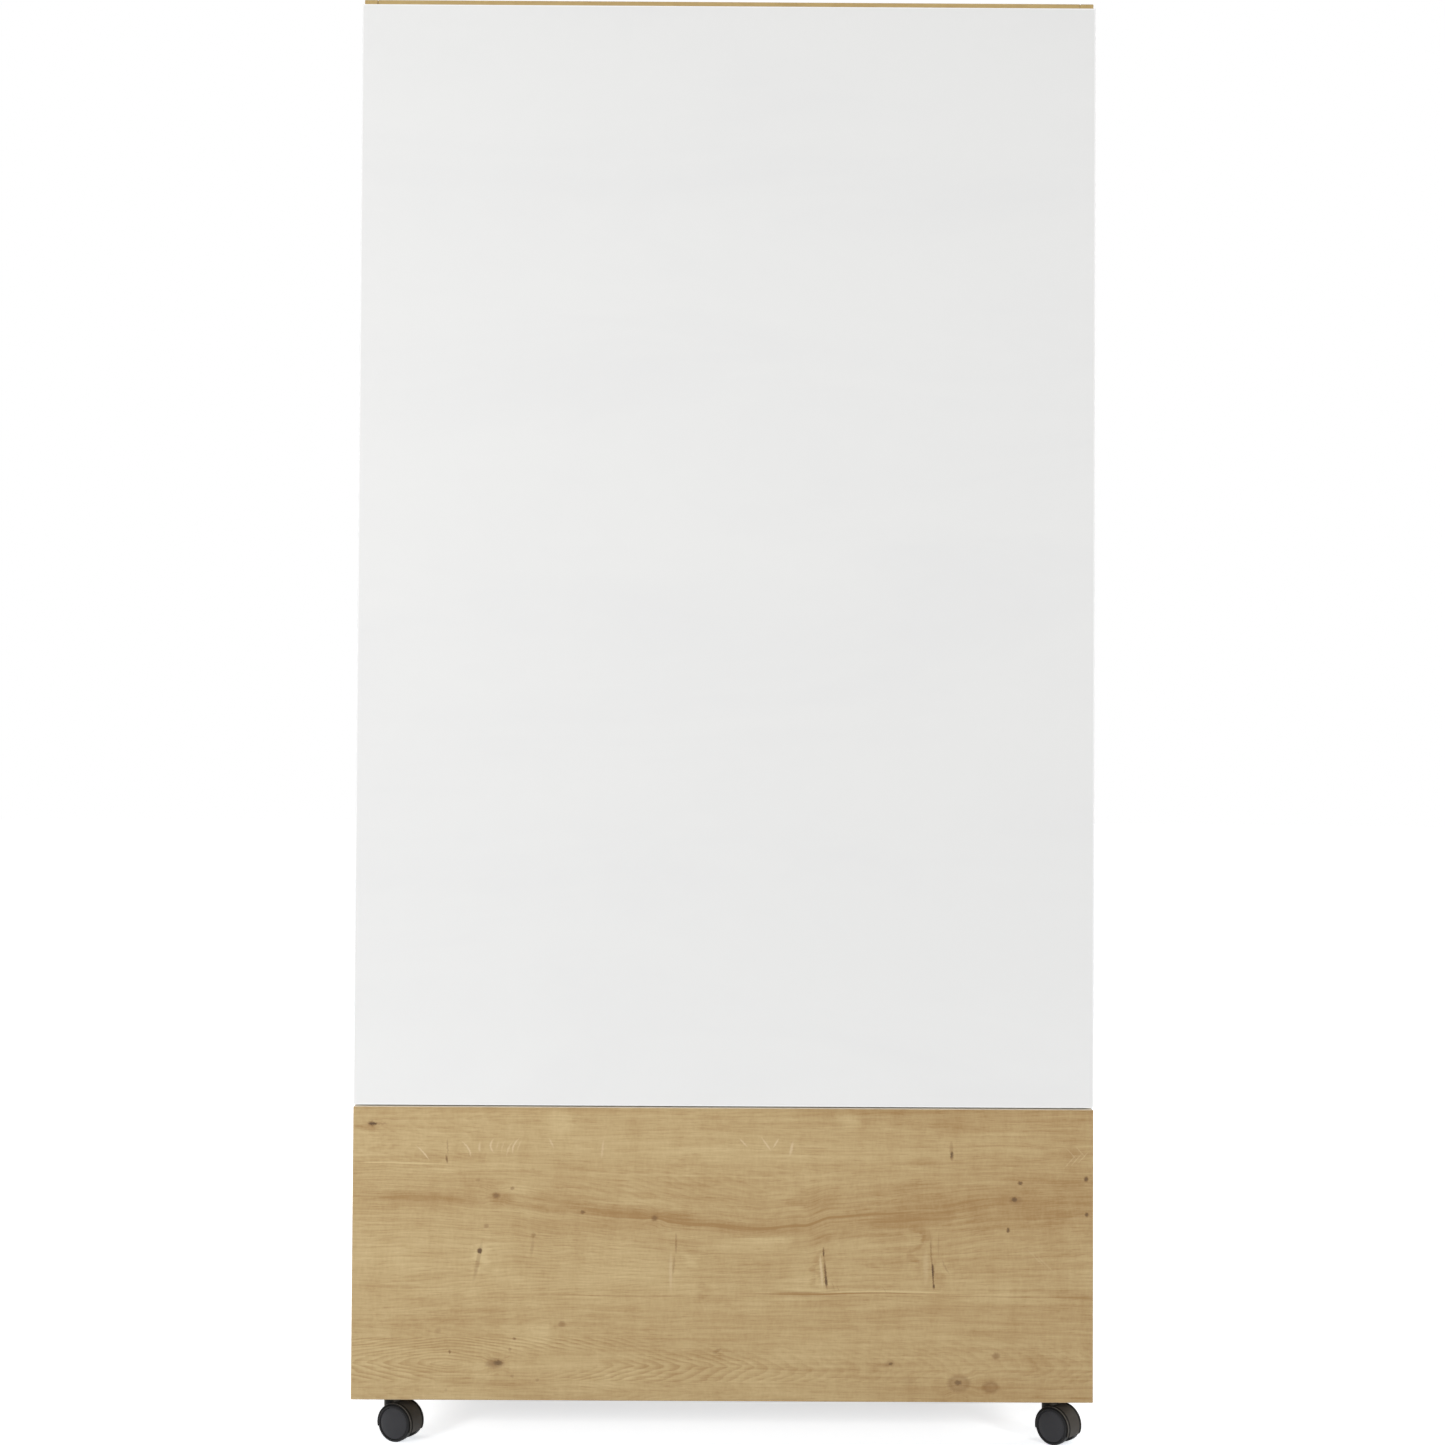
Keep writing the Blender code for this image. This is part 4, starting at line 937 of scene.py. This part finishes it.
def solid(name, shape):
    mesh = bpy.data.meshes.new(name)
    shape.to_mesh(mesh)
    shape.free()
    obj = bpy.data.objects.new(name, mesh)
    bpy.context.scene.collection.objects.link(obj)
    return obj


def settle(obj):
    """Applies an object's modifiers."""
    bpy.context.view_layer.update()
    graph = bpy.context.evaluated_depsgraph_get()
    mesh = bpy.data.meshes.new_from_object(obj.evaluated_get(graph))
    obj.modifiers.clear()
    old, obj.data = obj.data, mesh
    bpy.data.meshes.remove(old)


def carve(obj, operation, shape, turn=None):
    """Adds a shape to an object or cuts it out of it."""
    tool = solid("tool", shape)
    if turn:
        tool.matrix_world = turn
    boolean = obj.modifiers.new(operation, "BOOLEAN")
    boolean.operation = operation
    boolean.solver = "EXACT"
    boolean.object = tool
    settle(obj)
    mesh = tool.data
    bpy.data.objects.remove(tool)
    bpy.data.meshes.remove(mesh)


def finished(obj, material):
    """Takes a made object's mesh, smooth but for its sharp edges, with its material."""
    mesh = obj.data
    bpy.data.objects.remove(obj)
    mesh.materials.clear()
    mesh.materials.append(material)
    mesh.shade_smooth()
    mesh.set_sharp_from_angle(angle=SHARP_ANGLE)
    return mesh


def dress(name, mesh, matrix, body, slot, *nodes):
    """Places a piece, which moves with a body and stands for CAD nodes."""
    obj = bpy.data.objects.new(name, mesh)
    bpy.context.scene.collection.objects.link(obj)
    obj.matrix_world = matrix
    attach(obj, body)
    if nodes:
        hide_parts(*nodes)
    return obj


def wheel_mesh(material):
    shoulder = WHEEL_RADIUS - WHEEL_SHOULDER
    middle = WHEEL_WIDTH / 2
    profile = [(WHEEL_BORE, RECESS_FLOOR), (RECESS_RADIUS, RECESS_FLOOR)]
    profile.append((RECESS_RADIUS, WHEEL_WIDTH - RECESS_CHAMFER))
    profile.append((RECESS_RADIUS + RECESS_CHAMFER, WHEEL_WIDTH))
    profile += arc((shoulder, WHEEL_WIDTH - WHEEL_SHOULDER), WHEEL_SHOULDER, 90, 0)
    profile += [
        (WHEEL_RADIUS, middle + PARTING_HALF),
        (WHEEL_RADIUS - PARTING_DEPTH, middle),
        (WHEEL_RADIUS, middle - PARTING_HALF),
    ]
    profile += arc((shoulder, WHEEL_SHOULDER), WHEEL_SHOULDER, 0, -90)
    profile.append((WHEEL_BORE, 0))
    return finished(solid("fine_wheel", lathe(profile, ring=True)), material)


def cap_mesh(material):
    edge_start = CAP_RADIUS - CAP_SHOULDER
    profile = []
    for step in range(CAP_STEPS + 1):
        reach = edge_start * step / CAP_STEPS
        profile.append((reach, CAP_EDGE + CAP_CROWN * (1 - (reach / edge_start) ** CAP_FLATNESS)))
    profile += arc((edge_start, CAP_EDGE - CAP_SHOULDER), CAP_SHOULDER, 70, 0, 5)
    profile += [(CAP_RADIUS, CAP_BACK), (CAP_POCKET, CAP_BACK)]
    profile += [(CAP_POCKET, CAP_POCKET_FLOOR), (0, CAP_POCKET_FLOOR)]
    return finished(solid("fine_cap", lathe(profile)), material)


def pedal_frame():
    """Carries the pedal's own frame, with X along its stem, to its pivot in the castor's frame."""
    x = TRAIL + PEDAL_REACH * math.cos(PEDAL_ELEVATION)
    z = AXLE_HEIGHT + PEDAL_REACH * math.sin(PEDAL_ELEVATION)
    return Matrix.Translation((x, 0, z)) @ Matrix.Rotation(-PEDAL_ELEVATION, 4, "Y")


def hood_underside():
    """A block whose slanted top is the hood's lower edge, higher at the stem than behind."""
    stem = Vector((-math.cos(STEM_CUT), 0, -math.sin(STEM_CUT))) * HOOD_RADIUS
    trail = Vector((math.cos(TRAIL_CUT), 0, -math.sin(TRAIL_CUT))) * HOOD_RADIUS
    run = trail - stem
    slope = math.atan2(run.z, run.x)
    middle = Vector((TRAIL, 0, AXLE_HEIGHT)) + (stem + trail) / 2
    half = run.length / 2 + HOOD_RADIUS
    wide = HOOD_HALF_WIDTH + CUT_OVERRUN
    turn = Matrix.Translation(middle) @ Matrix.Rotation(-slope, 4, "Y")
    return block((-half, -wide, -2 * HOOD_RADIUS), (half, wide, 0)), turn


def lower_corner(outward):
    """The outline that rounds one lower corner of the hood's trailing wall."""
    edge = AXLE_HEIGHT - HOOD_RADIUS * math.sin(TRAIL_CUT)
    inner = HOOD_HALF_WIDTH - LOWER_CORNER
    beyond = HOOD_HALF_WIDTH + CUT_OVERRUN
    outline = [(inner, edge - LOWER_CORNER), (beyond, edge - LOWER_CORNER), (beyond, edge + LOWER_CORNER)]
    outline += arc((inner, edge + LOWER_CORNER), LOWER_CORNER, 0, -90, 8)
    return [(outward * y, z) for y, z in outline]


def hood_mesh(material, braked):
    """The moulded hood: a drum and stem boss, hollowed by two wheel wells beside a central web."""
    middle = (TRAIL, 0, AXLE_HEIGHT)
    half = [(0, HOOD_HALF_WIDTH)]
    half += arc((HOOD_RADIUS - HOOD_EDGE, HOOD_HALF_WIDTH - HOOD_EDGE), HOOD_EDGE, 90, 0)
    floor = HOOD_RADIUS - GROOVE_DEPTH
    half += [(HOOD_RADIUS, GROOVE_HIGH), (floor, GROOVE_HIGH)]
    half += [(floor, GROOVE_LOW), (HOOD_RADIUS, GROOVE_LOW)]
    drum = lathe(half + [(radius, -height) for radius, height in reversed(half)])
    drum.transform(Matrix.Translation(middle) @ Matrix.Rotation(QUARTER_TURN, 4, "X"))
    hood = solid("fine_hood", drum)
    boss = [(0, BOSS_TOP)] + arc((BOSS_RADIUS - BOSS_EDGE, BOSS_TOP - BOSS_EDGE), BOSS_EDGE, 90, 0)
    boss += [(BOSS_RADIUS, AXLE_HEIGHT), (0, AXLE_HEIGHT)]
    carve(hood, "UNION", lathe(boss))
    well_depth = HOOD_HALF_WIDTH - WEB_HALF + CUT_OVERRUN
    for outward in (-1, 1):
        centre = (TRAIL, outward * (WEB_HALF + well_depth / 2), AXLE_HEIGHT)
        carve(hood, "DIFFERENCE", rod(HOOD_RADIUS - HOOD_WALL, well_depth, centre, "Y"))
    carve(hood, "DIFFERENCE", *hood_underside())
    for outward in (-1, 1):
        low, high = TRAIL, TRAIL + HOOD_RADIUS + CUT_OVERRUN
        carve(hood, "DIFFERENCE", prism(lower_corner(outward), low, high))
    bore_height = BOSS_TOP + CUT_OVERRUN - KINGPIN_FLOOR
    bore_middle = (0, 0, KINGPIN_FLOOR + bore_height / 2)
    carve(hood, "DIFFERENCE", rod(KINGPIN_BORE, bore_height, bore_middle, "Z", BORE_SIDES))
    carve(hood, "DIFFERENCE", rod(WHEEL_BORE, 2 * WEB_HALF + CUT_OVERRUN, middle, "Y", BORE_SIDES))
    if braked:
        trunnions = rod(TRUNNION_BORE, TRUNNION_SPAN, (0, 0, 0), "Y", TRUNNION_SIDES)
        carve(hood, "DIFFERENCE", block(SLOT_LOW, SLOT_HIGH), pedal_frame())
        carve(hood, "DIFFERENCE", trunnions, pedal_frame())
    return finished(hood, material)


def castor_frame(corner):
    """A castor's own frame, from the joints that it turns on."""
    joints = {joint["name"]: joint for joint in frame["joints"]}
    axle = Vector(joints[f"roll_{corner}_near"]["axis"]).normalized()
    up = Vector((0, 0, 1))
    matrix = Matrix((axle.cross(up), axle, up)).transposed().to_4x4()
    matrix.translation = Vector(joints["swivel_" + corner]["pos_m"])
    return matrix


def dress_castors(hood_finish, wheel_finish, cap_finish):
    wheel, cap = wheel_mesh(wheel_finish), cap_mesh(cap_finish)
    hoods = {"front": hood_mesh(hood_finish, False), "rear": hood_mesh(hood_finish, True)}
    for corner in CORNERS:
        matrix = castor_frame(corner)
        hood = hoods[corner.split("_")[0]]
        dress("fine_hood_" + corner, hood, matrix, "castor_" + corner, "black_nylon", "castor_hood_" + corner)
        for facing, outward in (("near", -1), ("far", 1)):
            inner = Matrix.Translation((TRAIL, outward * WHEEL_INNER_FACE, AXLE_HEIGHT))
            spot = matrix @ inner @ Matrix.Rotation(-outward * QUARTER_TURN, 4, "X")
            which = f"{corner}_{facing}"
            body = "twin_wheel_" + which
            dress("fine_wheel_" + which, wheel, spot, body, "wheel_nylon", "wheel_" + which)
            dress("fine_cap_" + which, cap, spot, body, "grey_nylon", "wheel_cap_" + which)


def dress_studs(finish):
    """Turned studs in place of the CAD ones, each along the X of its node's box."""
    stud = finished(solid("fine_stud", lathe(STUD_PROFILE, STUD_SIDES)), finish)
    length = STUD_PROFILE[0][1]
    for name in [node for node in NODES if node.startswith("shelf_stud_")]:
        low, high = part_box(name)
        rightward = -1 if "_left_" in name else 1
        outer = low.x if rightward < 0 else high.x
        collar = Matrix.Translation((outer - rightward * length, (low.y + high.y) / 2, (low.z + high.z) / 2))
        spot = collar @ Matrix.Rotation(rightward * QUARTER_TURN, 4, "Y")
        dress("fine_" + name, stud, spot, "carcass", "bright_steel", name)


def add_cam_covers(finish):
    """Flat domed covers over the cam bolts that hold the level boards between the side panels."""
    cover = finished(solid("cam_cover", lathe(COVER_PROFILE, COVER_SIDES)), finish)
    for board, upward in (("base_board", True), ("fixed_shelf", False), ("top_board", False)):
        low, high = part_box(board)
        z = high.z if upward else low.z
        turn = Matrix.Identity(4) if upward else Matrix.Rotation(2 * QUARTER_TURN, 4, "X")
        for side, x in (("left", low.x + COVER_END_INSET), ("right", high.x - COVER_END_INSET)):
            for end, y in (("front", low.y + COVER_EDGE_INSET), ("rear", high.y - COVER_EDGE_INSET)):
                spot = Matrix.Translation((x, y, z)) @ turn
                dress(f"cam_cover_{board}_{side}_{end}", cover, spot, "carcass", "oak_shelf_laminate")


def paint_boards():
    front = oak(
        "front oak",
        "lower_front_panel",
        0,
        2,
        FRONT_TONES,
        FRONT_PLANKS,
        FRONT_SEED,
        KNOTS,
        # Edge band colour lightened as a painted highlight
        FRONT_EDGE_BAND_HIGHLIGHT,
        front=True,
    )
    paint("lower_front_panel", front)
    for node, along, across, seed, knots in PLAIN_BOARDS:
        tones, planks = plain_planks(seed)
        marks = plain_knots(node, along, across, seed, knots)
        paint(node, oak(node + " oak", node, along, across, tones, planks, seed, marks))


def enamel():
    """The glossy writing sheet, with the faintest trace of wiping and a painted highlight along its rim."""
    material, graph, shader = new_material("white enamel")
    place = graph.add("TexCoord").outputs["Object"]
    wipe = graph.noise(graph.stretch(place, WIPE_SCALES, WIPE_SHIFT), *WIPE_NOISE)
    fine = graph.noise(graph.stretch(place, SHEET_GRAIN_SCALES))
    peel = graph.noise(place, SHEET_PEEL_SCALE, FINER_DETAIL)
    sheet = graph.mix(graph.between(wipe, 0.35, 0.75), ENAMEL, ENAMEL_SMEAR)
    low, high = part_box("writing_surface")
    spot = graph.split(place)
    inward = 1.0
    for axis in (0, 2):
        inward = graph.math("MINIMUM", inward, graph.minus(spot[axis], low[axis]))
        inward = graph.math("MINIMUM", inward, graph.minus(high[axis], spot[axis]))
    # Painted highlight along the sheet's rim
    rim = graph.between(inward, RIM_START, RIM_END)
    graph.put(shader.inputs["Base Color"], graph.mix(rim, sheet, ENAMEL_RIM_HIGHLIGHT))
    rough = graph.scaled_sum(graph.between(wipe, 0.3, 0.7), SHEET_ROUGH_WIPED, SHEET_ROUGH)
    rough = graph.scaled_sum(graph.minus(fine, 0.5), SHEET_ROUGH_GRAIN, rough)
    graph.put(shader.inputs["Roughness"], rough)
    graph.put(shader.inputs["Normal"], graph.bump(peel, SHEET_PEEL_HEIGHT))
    shader.inputs["Coat Weight"].default_value = SHEET_COAT
    shader.inputs["Coat Roughness"].default_value = SHEET_COAT_ROUGH
    return material


def add_world():
    """White where it is seen, itself or in a reflection, and plain even light elsewhere."""
    world = bpy.data.worlds.new("studio")
    bpy.context.scene.world = world
    world.use_nodes = True
    graph = Graph(world.node_tree)
    background = world.node_tree.nodes["Background"]
    background.inputs["Color"].default_value = (1, 1, 1, 1)
    graph.put(background.inputs["Strength"], graph.blend(seen_ray(graph), WORLD_LIGHT, SHOWN_WHITE))


def seen_ray(graph):
    """1 for a ray that shows a surface to the camera, by itself or through gloss or glass."""
    rays = graph.add("LightPath").outputs
    seen = graph.math("MAXIMUM", rays["Is Camera Ray"], rays["Is Glossy Ray"])
    return graph.math("MAXIMUM", seen, rays["Is Transmission Ray"])


def add_floor():
    """A floor that looks white where it is lit and keeps the object's shadow."""
    shape = bmesh.new()
    bmesh.ops.create_circle(shape, cap_ends=True, segments=64, radius=FLOOR_REACH)
    floor = solid("floor", shape)
    material, graph, shader = new_material("pale floor")
    seen = seen_ray(graph)
    graph.put(shader.inputs["Base Color"], graph.mix(seen, FLOOR_WHITE, FLOOR_SHOWN))
    place = graph.add("TexCoord").outputs["Object"]
    far = graph.add("VectorMath", place, operation="LENGTH").outputs["Value"]
    glow = graph.between(far, FLOOR_NEAR, FLOOR_FAR, FLOOR_GLOW_NEAR, FLOOR_GLOW_FAR)
    graph.put(shader.inputs["Emission Strength"], graph.times(seen, glow))
    shader.inputs["Emission Color"].default_value = (*FLOOR_GLOW, 1)
    shader.inputs["Roughness"].default_value = 1.0
    shader.inputs["Specular IOR Level"].default_value = 0.0
    floor.data.materials.append(material)


def add_lamps():
    for name, place, aim, width, height, watts in LAMPS:
        lamp = bpy.data.lights.new(name, "AREA")
        lamp.shape = "RECTANGLE"
        lamp.size, lamp.size_y = width, height
        lamp.energy = watts
        obj = bpy.data.objects.new(name, lamp)
        bpy.context.scene.collection.objects.link(obj)
        obj.location = place
        obj.rotation_euler = (Vector(aim) - Vector(place)).to_track_quat("-Z", "Y").to_euler()
        obj.visible_camera = False
        # The glossy sheet would mirror each lamp as a bright square
        obj.visible_glossy = False


def add_camera():
    data = bpy.data.cameras.new("camera")
    data.lens = CAMERA_LENS
    data.sensor_width = SENSOR_WIDTH
    camera = bpy.data.objects.new("camera", data)
    bpy.context.scene.collection.objects.link(camera)
    flat = math.cos(CAMERA_PITCH)
    forward = Vector((math.sin(CAMERA_YAW) * flat, math.cos(CAMERA_YAW) * flat, math.sin(CAMERA_PITCH)))
    level = Vector((math.cos(CAMERA_YAW), -math.sin(CAMERA_YAW), 0))
    up = level.cross(forward)
    right = level * math.cos(CAMERA_ROLL) + up * math.sin(CAMERA_ROLL)
    head = up * math.cos(CAMERA_ROLL) - level * math.sin(CAMERA_ROLL)
    matrix = Matrix((right, head, -forward)).transposed().to_4x4()
    matrix.translation = CAMERA_PLACE
    camera.matrix_world = matrix
    bpy.context.scene.camera = camera


finishes = {row[0]: noisy_finish(*row) for row in FINISHES}
# Partly wear, partly a painted highlight on the hood's rounded edges
overlay(finishes["hood nylon"], EDGE_WEAR_AND_HIGHLIGHT, hood_edge_wear_and_highlight)
# Painted shade on the hood's rims and inside
overlay(finishes["hood nylon"], HOOD_SHADE_BLACK, hood_shade_share)
overlay(finishes["wheel nylon"], WHEEL_GREY, wheel_face)
paint_boards()
paint("writing_surface", enamel())
paint("whiteboard_core", finishes["white melamine"])
for corner in CORNERS:
    paint("castor_plate_" + corner, finishes["black zinc"])
    paint("kingpin_" + corner, finishes["bright steel"])
    paint("axle_" + corner, finishes["bright steel"])
paint("brake_pedal_rear_left", finishes["black nylon"])
paint("brake_pedal_rear_right", finishes["black nylon"])
dress_castors(finishes["hood nylon"], finishes["wheel nylon"], finishes["grey nylon"])
dress_studs(finishes["bright steel"])
add_cam_covers(finishes["cover plastic"])
add_world()
add_floor()
add_lamps()
add_camera()
bpy.context.scene.view_settings.view_transform = "Standard"
